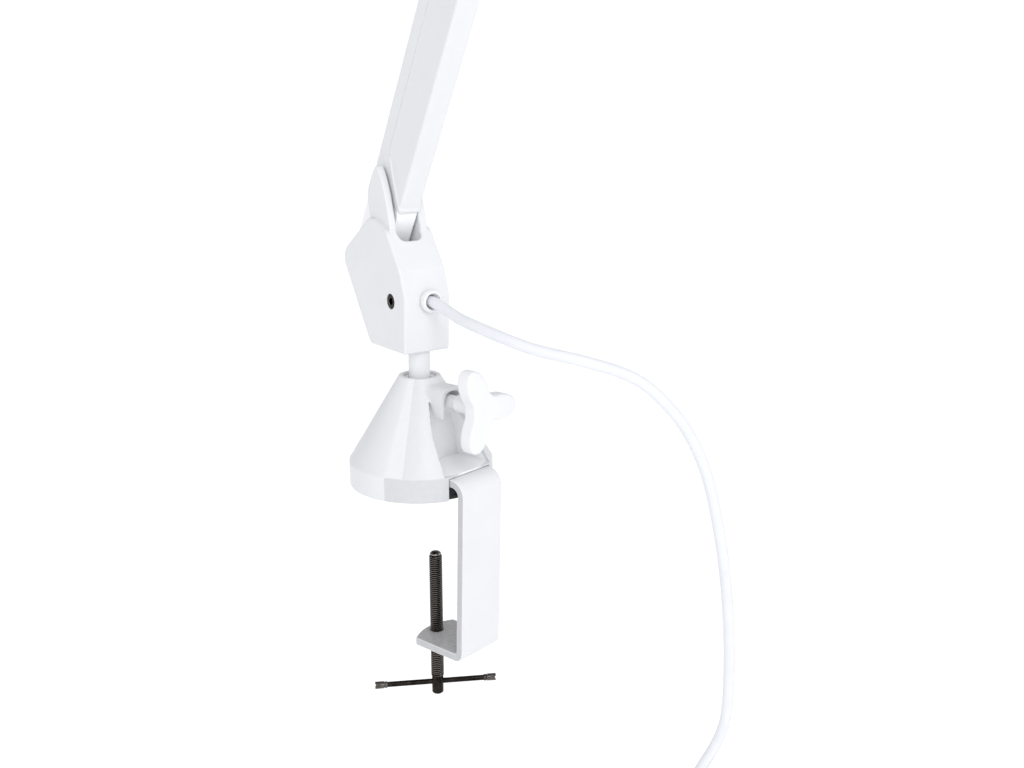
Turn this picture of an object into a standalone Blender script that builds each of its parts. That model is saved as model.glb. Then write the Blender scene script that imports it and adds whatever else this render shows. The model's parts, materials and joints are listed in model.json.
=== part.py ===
"""Clamp-mounted swing arm desk lamp.

A C-shaped strap clamp holds a conical base on a table edge. A round post turns in the base and is locked by a
three-lobed knob. A flat polygonal knuckle on the post carries the lower arm, the lower arm carries the upper arm,
and the upper arm carries a slim LED head. The mains lead leaves the back of the knuckle and hangs behind the table.

Frame: millimetres in the constants below, metres in the model. The origin is the centre of the base's underside,
on the table top. +Z is up, +X is the back (clamp strap, knob, lead), -X is the user's side.
"""

import math

import bmesh
import bpy
from mathutils import Matrix, Vector

MM = 0.001
GAP = 0.3                      # clearance between pieces that touch

# base
BASE_R = 42.7                  # outer radius of the skirt
SKIRT_Z = 14.8                 # height of the straight skirt
CONE_TOP_Z = 65.6
CONE_TOP_R = 12.2
PAD_R = 38.6
PAD_H = 2.2
BUSH_R = 9.7
POST_R = 6.55
FACET_AT = 67.5                # azimuth of the two flat facets, either side of the back
FACET_HALF = 7.5
BRACKET_SCREW_X = -5.0
KNOB_Z = 53.5                  # height of the locking screw's axis
HOOD_FACE_X = 26.5

# clamp
STRAP_HALF_W = 16.6
STRAP_T = 4.7
STRAP_X_TOP = 49.3             # outer face of the strap at the table top
STRAP_X_BOT = 47.0             # and at its lower end
ARM_TOP_Z = 13.3
ARM_BOT_Z = -99.6
SCREW_X = 10.4
SCREW_R = 4.0
SCREW_TIP_Z = -43.2
THREAD_END_Z = -125.1
COLLAR_END_Z = -137.9
BAR_Z = -130.4
BAR_R = 1.65
BAR_LEN = 75.5
BAR_TURN = 48.7                # how far the cross bar is turned from +X, degrees

# knuckle, in the frame that turns with the post
KNUCKLE_TURN = -13.94          # where the post stands at rest, degrees about +Z
KN_HALF_T = 15.15
COVER_T = 2.5
SLOT_HALF = 7.7
BOLT_X, BOLT_Z = -5.6, 109.8
GLAND_Y, GLAND_Z = 1.5, 110.8
KNUCKLE_OUTLINE = [            # (x, z) corners with their rounding radii
    (-63.9, 131.4, 9.0), (-27.0, 157.0, 10.0), (-8.4, 149.1, 5.0), (5.2, 128.8, 22.0),
    (10.7, 112.9, 12.0), (9.2, 80.8, 1.2), (-31.5, 80.8, 7.0),
]
EAR_OUTLINE = [                # leaf-shaped ear that stands above the covers
    (-30.0, 148.0), (-31.8, 156.5), (-33.2, 161.5), (-34.3, 167.2), (-33.2, 172.5), (-29.2, 179.0), (-25.0, 184.4),
    (-22.6, 186.0), (-19.6, 183.0), (-16.5, 177.5), (-13.6, 170.5), (-11.4, 163.0), (-9.6, 156.0), (-7.6, 148.0),
]

# arms
TILT_LOWER = 29.85             # from upright, towards the back, at rest
LOWER_PIVOT = (-44.3, 131.0)
LOWER_LEN = 400.0
TILT_UPPER = -78.0
UPPER_LEN = 380.0
ARM_HALF_W = 17.65             # in the plane the arm tilts in
ARM_HALF_T = 6.75
SPLIT_U = -8.1                 # parting line between the bar and its cover
COVER_WALL = 1.3
LIP_FROM, LIP_TO = 68.5, 43.0    # lower end of the lower arm's cover, at the parting line and at the back
ELBOW_R = 14.5
ELBOW_NECK = 40.0              # from the elbow's axis to the full-width profiles
CHEEK_IN, CHEEK_OUT = 7.6, 10.4
HEAD_NECK = 30.0
HEAD_R = 11.5

# head
HEAD_TILT = -94.0
HEAD_LEN = 330.0
HEAD_W = 62.0
HEAD_T = 13.0

# mains lead
CORD_D = 6.4
COIL_R = 36.0                  # to the middle of the turns
COIL_CENTRE = (178.0, 73.0, -212.0)
COIL_HALF_W = 9.7
COIL_HALF_H = 9.7


# ---------------------------------------------------------------- helpers
def clear():
    for o in list(bpy.data.objects):
        bpy.data.objects.remove(o, do_unlink=True)


MATERIALS = {}


def material(name, rgb, rough, metal=0.0):
    if name not in MATERIALS:
        m = bpy.data.materials.new(name)
        m.use_nodes = True
        b = m.node_tree.nodes["Principled BSDF"]
        b.inputs["Base Color"].default_value = (*rgb, 1)
        b.inputs["Roughness"].default_value = rough
        b.inputs["Metallic"].default_value = metal
        MATERIALS[name] = m
    return MATERIALS[name]


WHITE = ("white_paint", (0.86, 0.87, 0.88), 0.42, 0.0)
WHITE_PLASTIC = ("white_plastic", (0.87, 0.87, 0.88), 0.5, 0.0)
FLEX = ("white_flex", (0.85, 0.86, 0.88), 0.5, 0.0)
BLACK_RUBBER = ("black_rubber", (0.02, 0.02, 0.02), 0.8, 0.0)
DARK_NICKEL = ("dark_nickel", (0.13, 0.12, 0.11), 0.28, 1.0)
STEEL = ("steel", (0.6, 0.6, 0.6), 0.3, 1.0)
BRASS = ("brass", (0.7, 0.55, 0.25), 0.35, 1.0)
NYLON = ("nylon", (0.8, 0.8, 0.76), 0.55, 0.0)
ALU = ("aluminium", (0.75, 0.75, 0.76), 0.35, 1.0)
DIFFUSER = ("diffuser", (0.93, 0.93, 0.9), 0.6, 0.0)
BOARD = ("led_board", (0.85, 0.85, 0.8), 0.5, 0.0)


def empty(name, parent=None, at=(0, 0, 0), rot=(0, 0, 0)):
    e = bpy.data.objects.new(name, None)
    bpy.context.scene.collection.objects.link(e)
    e.parent = parent
    e.location = [c * MM for c in at]
    e.rotation_euler = [math.radians(a) for a in rot]
    return e


def finish(bm, name, mat=None, parent=None, at=(0, 0, 0), rot=(0, 0, 0), cutter=False):
    bmesh.ops.remove_doubles(bm, verts=bm.verts, dist=1e-4)
    bmesh.ops.recalc_face_normals(bm, faces=bm.faces)
    bmesh.ops.scale(bm, vec=(MM, MM, MM), verts=bm.verts)
    me = bpy.data.meshes.new(name)
    bm.to_mesh(me)
    bm.free()
    me.shade_smooth()
    me.set_sharp_from_angle(angle=math.radians(32))
    o = bpy.data.objects.new(name, me)
    bpy.context.scene.collection.objects.link(o)
    if mat:
        me.materials.append(material(*mat))
    o.parent = parent
    o.location = [c * MM for c in at]
    o.rotation_euler = [math.radians(a) for a in rot]
    if cutter:
        o.hide_render = True
        o.display_type = "WIRE"
    return o


def combine(target, tool, how="DIFFERENCE"):
    m = target.modifiers.new(how.lower(), "BOOLEAN")
    m.operation = how
    m.solver = "EXACT"
    m.object = tool
    tool.hide_render = True
    tool.display_type = "WIRE"
    tool.hide_viewport = False
    return target


def rounded(corners, seg=4):
    """Corner list (p, q, radius) to a closed outline with tangent arcs."""
    out = []
    n = len(corners)
    for i, (x, y, r) in enumerate(corners):
        p = Vector((x, y))
        a = (Vector(corners[i - 1][:2]) - p)
        b = (Vector(corners[(i + 1) % n][:2]) - p)
        la, lb = a.length, b.length
        a.normalize()
        b.normalize()
        ang = math.acos(max(-1, min(1, a.dot(b))))
        if r <= 0 or ang > math.pi - 1e-3:
            out.append((p.x, p.y))
            continue
        d = min(r / math.tan(ang / 2), 0.48 * la, 0.48 * lb)
        rr = d * math.tan(ang / 2)
        c = p + (a + b).normalized() * (rr / math.sin(ang / 2))
        s, e = p + a * d - c, p + b * d - c
        s_a, e_a = math.atan2(s.y, s.x), math.atan2(e.y, e.x)
        turn = (e_a - s_a + math.pi) % (2 * math.pi) - math.pi
        k = max(1, round(seg * abs(turn) / (math.pi / 2)))
        for j in range(k + 1):
            t = s_a + turn * j / k
            out.append((c.x + rr * math.cos(t), c.y + rr * math.sin(t)))
    return out


def prism(outline, lo, hi, axis="Y"):
    """Closed body: a 2D outline extruded along an axis. Y takes (x, z), X takes (y, z), Z takes (x, y)."""
    place = {"Y": lambda p, q, t: (p, t, q), "X": lambda p, q, t: (t, p, q), "Z": lambda p, q, t: (p, q, t)}[axis]
    bm = bmesh.new()
    a = [bm.verts.new(place(p, q, lo)) for p, q in outline]
    b = [bm.verts.new(place(p, q, hi)) for p, q in outline]
    n = len(a)
    bm.faces.new(a)
    bm.faces.new(b[::-1])
    for i in range(n):
        bm.faces.new((a[i], a[(i + 1) % n], b[(i + 1) % n], b[i]))
    return bm


def lathe(profile, seg=32, axis="Z", closed=False):
    """Closed body: (radius, height) points turned about an axis; the ends meet the axis unless closed is a ring."""
    turn = {"Z": lambda r, c, s, h: (r * c, r * s, h), "Y": lambda r, c, s, h: (r * c, h, r * s),
            "X": lambda r, c, s, h: (h, r * c, r * s)}[axis]
    bm = bmesh.new()
    rings = []
    for r, h in profile:
        if r < 1e-6:
            rings.append([bm.verts.new(turn(0, 1, 0, h))])
        else:
            rings.append([bm.verts.new(turn(r, math.cos(2 * math.pi * i / seg), math.sin(2 * math.pi * i / seg), h))
                          for i in range(seg)])
    pairs = list(zip(rings, rings[1:]))
    if closed:
        pairs.append((rings[-1], rings[0]))
    for a, b in pairs:
        for i in range(seg):
            j = (i + 1) % seg
            if len(a) == 1 and len(b) == 1:
                break
            if len(a) == 1:
                bm.faces.new((a[0], b[i], b[j]))
            elif len(b) == 1:
                bm.faces.new((a[i], b[0], a[j]))
            else:
                bm.faces.new((a[i], b[i], b[j], a[j]))
    return bm


def rod(r, lo, hi, seg=24, axis="Z", chamfer=0.0):
    if chamfer:
        return lathe([(0, lo), (r - chamfer, lo), (r, lo + chamfer), (r, hi - chamfer), (r - chamfer, hi), (0, hi)], seg, axis)
    return lathe([(0, lo), (r, lo), (r, hi), (0, hi)], seg, axis)


def ring(r_in, r_out, lo, hi, seg=24, axis="Z"):
    return lathe([(r_in, lo), (r_out, lo), (r_out, hi), (r_in, hi)], seg, axis, closed=True)


def moved(bm, d):
    bmesh.ops.translate(bm, vec=d, verts=bm.verts)
    return bm


def block(lo, hi):
    return prism([(lo[0], lo[1]), (hi[0], lo[1]), (hi[0], hi[1]), (lo[0], hi[1])], lo[2], hi[2], "Z")


# ---------------------------------------------------------------- base
def build_base():
    # the underside is stepped in for the pad
    cone = finish(lathe([(0, PAD_H + GAP), (PAD_R + 0.4, PAD_H + GAP), (PAD_R + 0.4, 0.5), (BASE_R - 0.8, 0.5), (BASE_R, 1.3), (BASE_R, SKIRT_Z),
                         (CONE_TOP_R + 0.5, CONE_TOP_Z - 0.8), (CONE_TOP_R - 0.3, CONE_TOP_Z), (0, CONE_TOP_Z)], 72),
                  "base_cone", WHITE)

    # flat facets, each between two generators of the cone
    for side in (-1, 1):
        k = math.cos(math.radians(FACET_HALF))
        slope = (BASE_R - CONE_TOP_R) / (CONE_TOP_Z - SKIRT_Z)
        z0, z1 = SKIRT_Z, CONE_TOP_Z + 2
        r1 = BASE_R - (z1 - SKIRT_Z) * slope
        f = finish(prism([(BASE_R * k, z0), (BASE_R + 9, z0), (r1 + 9, z1), (r1 * k, z1)], -9, 9, "Y"),
                   "facet_cut_%d" % side, cutter=True, rot=(0, 0, side * FACET_AT))
        combine(cone, f)

    # recess at the back: floor at the top of the skirt, sides closing towards the top
    recess = rounded([(-19.2, SKIRT_Z + 0.05, 0), (19.2, SKIRT_Z + 0.05, 0), (15.6, 36.0, 30), (8.2, 57.0, 5), (-8.2, 57.0, 5), (-15.6, 36.0, 30)], 3)
    combine(cone, finish(prism(recess, 11.5, 60, "X"), "recess_cut", cutter=True))
    # hood over the locking screw
    hood = rounded([(-9.0, 44.0, 0.6), (-8.8, 52.5, 0), (-8.8, 62.3, 8.6), (8.8, 62.3, 8.6), (8.8, 52.5, 0), (9.0, 44.0, 0.6),
                    (7.4, 45.5, 0), (6.6, 50, 0), (6.4, 59.9, 6.2), (-6.4, 59.9, 6.2), (-6.6, 50, 0), (-7.4, 45.5, 0)], 4)
    combine(cone, finish(prism(hood, 10.0, HOOD_FACE_X, "X"), "hood_join", cutter=True), "UNION")
    boss = finish(moved(rod(7.4, 9.0, 18.0, 24, "X"), (0, 0, KNOB_Z)), "boss_join", cutter=True)
    combine(cone, boss, "UNION")

    # the skirt ends in a straight edge behind the recess, over the strap
    combine(cone, finish(block((39.2, -STRAP_HALF_W - 0.5, -1), (60, STRAP_HALF_W + 0.5, 30)), "chord_cut", cutter=True))
    # pocket for the strap's upper arm and the pad's block
    combine(cone, finish(block((-14.4, -STRAP_HALF_W - 0.4, -1), (50, STRAP_HALF_W + 0.4, ARM_TOP_Z + GAP)), "pocket_cut", cutter=True))
    # bores: post, bush, locking screw, two bracket screws
    for i, y in enumerate((-10.5, 10.5)):
        combine(cone, finish(moved(rod(2.8, 5, 26.0, 16), (BRACKET_SCREW_X, y, 0)), "bracket_bore_cut_%d" % i, cutter=True))
    b, t = POST_R + 0.35, CONE_TOP_Z + 1.3
    combine(cone, finish(lathe([(0, 19), (b, 19), (b, 57.4), (BUSH_R + 0.05, 57.4), (BUSH_R + 0.05, t), (0, t)], 36), "post_bore_cut", cutter=True))
    combine(cone, finish(moved(rod(4.35, 3, 40, 24, "X"), (0, 0, KNOB_Z)), "screw_bore_cut", cutter=True))

    pad = finish(rod(PAD_R, 0, PAD_H, 48), "base_pad", BLACK_RUBBER)
    combine(pad, finish(block((-13.6, -15.9, PAD_H - 1), (36.5, 15.9, ARM_TOP_Z - STRAP_T - GAP)), "pad_block_join", cutter=True), "UNION")
    for i, y in enumerate((-10.5, 10.5)):
        combine(pad, finish(moved(rod(5.0, PAD_H + 0.4, 20, 16), (BRACKET_SCREW_X, y, 0)), "pad_bore_cut_%d" % i, cutter=True))

    bush = finish(ring(POST_R + 0.15, BUSH_R - 0.2, 57.7, CONE_TOP_Z - 1.6, 32), "swivel_bush", NYLON)
    return cone, pad, bush


def build_bracket():
    # side view, outer edge then inner edge
    t = STRAP_T
    x_in = lambda x: x - t
    top_end, bot_end = -13.8, 3.5
    slope = (STRAP_X_TOP - STRAP_X_BOT) / 90.0
    xo_top = STRAP_X_TOP + slope * ARM_TOP_Z
    xo_bot = STRAP_X_TOP + slope * ARM_BOT_Z
    outline = rounded([
        (top_end, ARM_TOP_Z, 0), (xo_top, ARM_TOP_Z, 9.5), (xo_bot, ARM_BOT_Z, 6.2), (bot_end, ARM_BOT_Z, 0),
        (bot_end, ARM_BOT_Z + t, 0), (x_in(xo_bot), ARM_BOT_Z + t, 1.6), (x_in(xo_top), ARM_TOP_Z - t, 4.8), (top_end, ARM_TOP_Z - t, 0),
    ], 6)
    strap = finish(prism(outline, -STRAP_HALF_W, STRAP_HALF_W, "Y"), "clamp_bracket", WHITE)
    # the lower arm's end is a shallow arc
    w = STRAP_HALF_W
    arc = [(3.5 + 5.2 * (y / w) ** 2, y) for y in [w * k / 6 for k in range(-6, 7)]]
    cut = arc + [(-6, w), (-6, w + 3), (-9, w + 3), (-9, -w - 3), (-6, -w - 3), (-6, -w)]
    combine(strap, finish(prism(cut, ARM_BOT_Z - 2, ARM_BOT_Z + t + 2, "Z"), "arc_cut", cutter=True))
    combine(strap, finish(moved(rod(SCREW_R + 0.12, ARM_BOT_Z - 2, ARM_BOT_Z + t + 2, 24), (SCREW_X, 0, 0)), "screw_hole_cut", cutter=True))
    for i, y in enumerate((-10.5, 10.5)):
        combine(strap, finish(moved(rod(2.8, 5, 20, 16), (BRACKET_SCREW_X, y, 0)), "bracket_hole_cut_%d" % i, cutter=True))
        s = lathe([(0, 5.0), (4.4, 5.0), (4.4, ARM_TOP_Z - t - GAP), (2.5, ARM_TOP_Z - t - GAP), (2.5, 25.4), (0, 25.4)], 16)
        finish(moved(s, (BRACKET_SCREW_X, y, 0)), "bracket_screw_" + "ab"[i], STEEL)
    return strap


def build_clamp_screw():
    e = empty("clamp_screw_axis", at=(SCREW_X, 0, 0))
    # domed thrust tip: it goes up and down with the screw, and doesn't turn against the table
    finish(lathe([(0, SCREW_TIP_Z - 1.9), (3.3, SCREW_TIP_Z - 1.9), (3.3, SCREW_TIP_Z - 1.0), (2.4, SCREW_TIP_Z - 0.25),
                  (0, SCREW_TIP_Z)], 20), "thrust_tip", DARK_NICKEL, e)
    s = finish(lathe([(0, COLLAR_END_Z), (2.9, COLLAR_END_Z), (3.6, COLLAR_END_Z + 0.8), (3.6, THREAD_END_Z - 0.5), (SCREW_R, THREAD_END_Z + 0.4),
                      (SCREW_R, SCREW_TIP_Z - 2.7), (3.6, SCREW_TIP_Z - 2.2), (0, SCREW_TIP_Z - 2.2)], 24), "clamp_screw", DARK_NICKEL, e)
    bar_frame = empty("tommy_bar_axis", e, (0, 0, BAR_Z), (0, 0, BAR_TURN))
    hole = finish(rod(BAR_R + 0.15, -8, 8, 16, "X"), "bar_hole_cut", parent=bar_frame, cutter=True)
    combine(s, hole)
    h = BAR_LEN / 2
    mid = -1.2                       # the bar has slid a little towards the near end
    finish(moved(rod(BAR_R, -h + 0.6, h - 0.6, 14, "X", 0.3), (mid, 0, 0)), "tommy_bar", DARK_NICKEL, bar_frame)
    for name, sgn in (("bar_end_a", -1), ("bar_end_b", 1)):
        lo, hi = sorted((sgn * (h - 7.6), sgn * h))
        finish(moved(ring(BAR_R + 0.06, BAR_R + 0.55, lo, hi, 14, "X"), (mid, 0, 0)), name, DARK_NICKEL, bar_frame)


def build_knob():
    e = empty("knob_axis", at=(0, 0, KNOB_Z))
    # brass plug between the stud and the post
    finish(lathe([(0, POST_R + 0.5), (3.6, POST_R + 1.0), (3.6, 12.0), (0, 12.0)], 16, "X"), "lock_plug", BRASS, e)
    finish(rod(4.0, 12.4, 33.0, 24, "X", 0.5), "knob_screw", WHITE_PLASTIC, e)

    # three lobes: radius falls from the lobes' tips to the waists between them
    lobes = [math.radians(a) for a in (-5.0, 117.0, 249.0)]

    def radius(a):
        d = min(abs((a - l + math.pi) % (2 * math.pi) - math.pi) for l in lobes)
        flat = math.radians(60)
        return 9.6 + 16.6 * (0.5 + 0.5 * math.cos(math.pi * min(d / flat, 1.0))) ** 1.55

    seg = 60
    rim = [(radius(2 * math.pi * i / seg), 2 * math.pi * i / seg) for i in range(seg)]
    bm = bmesh.new()
    loops = []
    for x, k in ((43.6, 0.93), (44.6, 1.0), (51.6, 1.0), (53.0, 0.93)):
        loops.append([bm.verts.new((x, r * k * math.cos(a), r * k * math.sin(a))) for r, a in rim])
    for a, b in zip(loops, loops[1:]):
        for i in range(seg):
            j = (i + 1) % seg
            bm.faces.new((a[i], a[j], b[j], b[i]))
    bm.faces.new(loops[0][::-1])
    bm.faces.new(loops[-1])
    knob = finish(bm, "wing_knob", WHITE_PLASTIC, e)
    combine(knob, finish(rod(5.2, 31.2, 46, 24, "X"), "hub_join", parent=e, cutter=True), "UNION")
    combine(knob, finish(rod(4.15, 30, 33.4, 24, "X"), "hub_bore_cut", parent=e, cutter=True))


# ---------------------------------------------------------------- knuckle
def build_knuckle(k):
    inner = KN_HALF_T - COVER_T - GAP / 2
    shape = rounded(KNUCKLE_OUTLINE, 5)
    body = finish(prism(shape, -inner, inner, "Y"), "knuckle_body", WHITE, k)
    combine(body, finish(prism(EAR_OUTLINE, -inner, inner, "Y"), "ears_join", parent=k, cutter=True), "UNION")
    # slot that the arm swings in: open at the top and on the user's side
    px, pz = LOWER_PIVOT
    slot = [(px + 19.8 * math.cos(a), pz + 19.8 * math.sin(a)) for a in [math.radians(d) for d in range(-150, -14, 15)]]
    slot += [(px + 21.9, pz + 0.5), (-6.6, 142.6), (1.2, 153.0), (20, 200), (-90, 200), (-95, 110)]
    combine(body, finish(prism(slot, -SLOT_HALF, SLOT_HALF, "Y"), "slot_cut", parent=k, cutter=True))
    # pivot pin, post socket, clamp bolt, lead entry
    combine(body, finish(moved(rod(4.1, -20, 20, 20, "Y"), (px, 0, pz)), "pin_bore_cut", parent=k, cutter=True))
    combine(body, finish(rod(POST_R + 0.05, 70, 100, 32), "post_socket_cut", parent=k, cutter=True))
    combine(body, finish(moved(rod(2.7, -20, 20, 16, "Y"), (BOLT_X, 0, BOLT_Z)), "bolt_bore_cut", parent=k, cutter=True))
    combine(body, finish(moved(rod(5.2, -1.0, 20, 20, "X"), (0, GLAND_Y, GLAND_Z)), "lead_bore_cut", parent=k, cutter=True))
    # passage for the lead from the entry up into the slot
    combine(body, finish(prism([(-1.5, 106.5), (4.5, 106.5), (4.5, 115.5), (-15, 137), (-24, 137), (-24, 128)], -3.6, 6.6, "Y"), "lead_way_cut", parent=k, cutter=True))

    for name, sgn in (("knuckle_cover_near", -1), ("knuckle_cover_far", 1)):
        lo, hi = sorted((sgn * (inner + GAP), sgn * KN_HALF_T))
        c = finish(prism(shape, lo, hi, "Y"), name, WHITE, k)
        combine(c, finish(moved(rod(4.5, -20, 20, 20, "Y"), (BOLT_X, 0, BOLT_Z)), name + "_bolt_cut", parent=k, cutter=True))

    # clamp bolt with a hex socket, and its nut
    y0 = -KN_HALF_T + 0.3
    head = finish(moved(lathe([(0, y0), (3.7, y0), (4.2, y0 + 0.5), (4.2, y0 + 3.2), (2.5, y0 + 3.2), (2.5, 14.3), (0, 14.3)], 20, "Y"), (BOLT_X, 0, BOLT_Z)),
                  "knuckle_bolt", DARK_NICKEL, k)
    combine(body, finish(moved(rod(4.6, -20, -inner + 2.0, 20, "Y"), (BOLT_X, 0, BOLT_Z)), "bolt_head_cut", parent=k, cutter=True))
    combine(body, finish(moved(rod(4.9, inner - 2.4, 20, 20, "Y"), (BOLT_X, 0, BOLT_Z)), "nut_cut", parent=k, cutter=True))
    hexa = [(2.4 * math.cos(math.radians(60 * i)), 2.4 * math.sin(math.radians(60 * i))) for i in range(6)]
    combine(head, finish(moved(prism(hexa, y0 - 1, y0 + 2.2, "Y"), (BOLT_X, 0, BOLT_Z)), "hex_cut", parent=k, cutter=True))
    nut_hex = [(4.3 * math.cos(math.radians(60 * i + 30)), 4.3 * math.sin(math.radians(60 * i + 30))) for i in range(6)]
    nut = finish(moved(prism(nut_hex, inner - 1.9, inner + 1.7, "Y"), (BOLT_X, 0, BOLT_Z)), "knuckle_nut", DARK_NICKEL, k)
    combine(nut, finish(moved(rod(2.62, 0, 20, 16, "Y"), (BOLT_X, 0, BOLT_Z)), "nut_bore_cut", parent=k, cutter=True))

    # post, from inside the base into the socket
    finish(rod(POST_R - 0.25, 20, 99.0, 32, "Z", 0.6), "post", WHITE, k)
    # pin and washers of the lower pivot, under the covers
    finish(moved(rod(3.95, -inner + 0.1, inner - 0.1, 20, "Y"), (px, 0, pz)), "lower_pivot_pin", STEEL, k)
    for name, sgn in (("lower_washer_near", -1), ("lower_washer_far", 1)):
        lo, hi = sorted((sgn * (ARM_HALF_T + 0.25), sgn * (SLOT_HALF - 0.25)))
        finish(moved(ring(4.3, 11.0, lo, hi, 24, "Y"), (px, 0, pz)), name, NYLON, k)

    # collar that the lead comes out of
    g = lathe([(3.5, 0.5), (5.0, 0.5), (5.0, 10.9), (6.5, 10.9), (6.5, 13.6), (5.9, 14.4), (4.7, 14.6), (3.5, 11.6)], 24, "X", closed=True)
    finish(moved(g, (0, GLAND_Y, GLAND_Z)), "cord_gland", WHITE_PLASTIC, k)


# ---------------------------------------------------------------- arms
def end_line(lip_from, lip_to, below=0.0):
    """Lower edge of an arm's cover on its side faces, from the parting line to the back, as (across, along)."""
    u0, u1, n = SPLIT_U + 0.25, ARM_HALF_W, 6
    pts = [(u0 - 3, lip_from - below)]
    pts += [(u0 + (u1 - u0) * i / n, lip_from - below + (lip_to - lip_from) * ((i / n) ** 0.8)) for i in range(n + 1)]
    return pts + [(u1 + 3, lip_to - below)]


def arm_shell(name, frame, s0, s1, lip_from, lip_to, mat=WHITE):
    """Back cover of an arm: a channel open towards the bar. Its lower end is cut from the parting line to the back."""
    u0, u1, v = SPLIT_U + 0.25, ARM_HALF_W, ARM_HALF_T
    w = COVER_WALL
    outer = rounded([(u0, -v, 0), (u1, -v, 1.6), (u1, v, 1.6), (u0, v, 0)], 3)
    inner = rounded([(u0, v - w, 0), (u1 - w, v - w, 0.5), (u1 - w, -v + w, 0.5), (u0, -v + w, 0)], 2)
    o = finish(prism(outer[:] + inner[:], s0, s1, "Z"), name, mat, frame)
    pts = [(u0 - 3, s0 - 2)] + end_line(lip_from, lip_to) + [(u1 + 3, s0 - 2)]
    combine(o, finish(prism(pts, -20, 20, "Y"), name + "_end_cut", parent=frame, cutter=True))
    return o


def arm_bar(name, frame, s0, s1, wide_from, wide_to, foot, shown, mat=WHITE):
    """Bar of an arm: full size at its front edge, stepped in under the cover, hollow, with a solid foot."""
    v = ARM_HALF_T
    vi = v - COVER_WALL - 0.25
    u0, u1 = -ARM_HALF_W, ARM_HALF_W - COVER_WALL - 0.35
    sec = rounded([(u0, -v, 1.6), (SPLIT_U, -v, 0), (SPLIT_U, -vi, 0), (u1, -vi, 0.5), (u1, vi, 0.5), (SPLIT_U, vi, 0), (SPLIT_U, v, 0), (u0, v, 1.6)], 3)
    o = finish(prism(sec, s0, s1, "Z"), name, mat, frame)
    combine(o, finish(prism(foot, -vi + 0.02, vi - 0.02, "Y"), name + "_foot_join", parent=frame, cutter=True), "UNION")
    combine(o, finish(prism(shown, -vi - 1.4, vi + 1.4, "Y"), name + "_tongue_join", parent=frame, cutter=True), "UNION")
    combine(o, finish(block((u0 + 1.8, -vi + 1.6, wide_from), (u1 - 1.6, vi - 1.6, wide_to)), name + "_hollow_cut", parent=frame, cutter=True))
    return o


def build_lower_arm(k):
    px, pz = LOWER_PIVOT
    a = empty("lower_arm_axis", k, (px, 0, pz), (0, TILT_LOWER, 0))
    w, u1 = ARM_HALF_W, ARM_HALF_W - COVER_WALL - 0.35
    # foot: round about the pivot, as wide as the arm; the part below the cover's edge stands a little proud
    arc = [(w * math.cos(t), w * math.sin(t)) for t in [math.radians(180 + 12 * i) for i in range(13)]]
    foot = arc[:-3] + [(w - 1.0, -4.0), (w - 0.7, 3.0), (w - 0.7, 40.5), (u1, 42.2), (u1 - 1.0, 70.0), (-w + 0.05, 70.0)]
    line = end_line(LIP_FROM, LIP_TO, 0.4)[1:-1]
    shown = arc[:-3] + [(w - 1.0, -4.0), (w - 0.7, 3.0), (w - 0.7, line[-1][1] - 0.3)] + line[::-1][1:] + [(-w + 0.05, line[0][1])]
    bar = arm_bar("lower_arm_bar", a, 30.0, LOWER_LEN - ELBOW_NECK, 24.0, LOWER_LEN - ELBOW_NECK + 4, foot, shown)
    combine(bar, finish(rod(4.15, -20, 20, 20, "Y"), "lower_bore_cut", parent=a, cutter=True))
    # the lead's way into the hollow
    combine(bar, finish(block((3.0, -3.4, 7.0), (ARM_HALF_W + 4, 3.4, 20.0)), "lower_lead_cut", parent=a, cutter=True))
    arm_shell("lower_arm_cover", a, 34.0, LOWER_LEN - ELBOW_NECK, LIP_FROM, LIP_TO)

    # clevis of the elbow: two cheeks on a plug in the end of the bar
    e = empty("elbow_in_lower", a, (0, 0, LOWER_LEN), (0, 0, 0))
    end = -ELBOW_NECK + GAP
    cheek = [(ELBOW_R * math.cos(t), ELBOW_R * math.sin(t)) for t in [math.radians(-5 + 10 * i) for i in range(20)]]
    cheek = cheek + [(-ARM_HALF_W, end + 5), (-ARM_HALF_W, end), (ARM_HALF_W, end), (ARM_HALF_W, end + 5)]
    c = finish(prism(cheek, -CHEEK_OUT, CHEEK_OUT, "Y"), "elbow_clevis", WHITE, e)
    combine(c, finish(block((-60, -CHEEK_IN, end + 8.4), (60, CHEEK_IN, 60)), "clevis_slot_cut", parent=e, cutter=True))
    combine(c, finish(block((-15.4, -3.3, end - 16), (14.0, 3.3, end + 2)), "clevis_plug_join", parent=e, cutter=True), "UNION")
    combine(c, finish(rod(4.1, -20, 20, 20, "Y"), "clevis_bore_cut", parent=e, cutter=True))
    combine(c, finish(block((-7, -2.2, end - 20), (7, 2.2, end + 12)), "clevis_lead_cut", parent=e, cutter=True))
    o = CHEEK_OUT
    finish(lathe([(0, -o - 3.0), (6.6, -o - 3.0), (7.4, -o - 2.3), (7.4, -o - GAP), (3.95, -o - GAP), (3.95, o + 0.2), (0, o + 0.2)], 24, "Y"), "elbow_bolt", WHITE, e)
    finish(lathe([(0, o + 0.5), (7.4, o + 0.5), (7.4, o + 2.3), (6.6, o + 3.0), (0, o + 3.0)], 24, "Y"), "elbow_cap", WHITE, e)
    for name, sgn in (("elbow_washer_near", -1), ("elbow_washer_far", 1)):
        lo, hi = sorted((sgn * 6.85, sgn * (CHEEK_IN - 0.2)))
        finish(ring(4.3, 11.0, lo, hi, 24, "Y"), name, NYLON, e)
    return a


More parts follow.
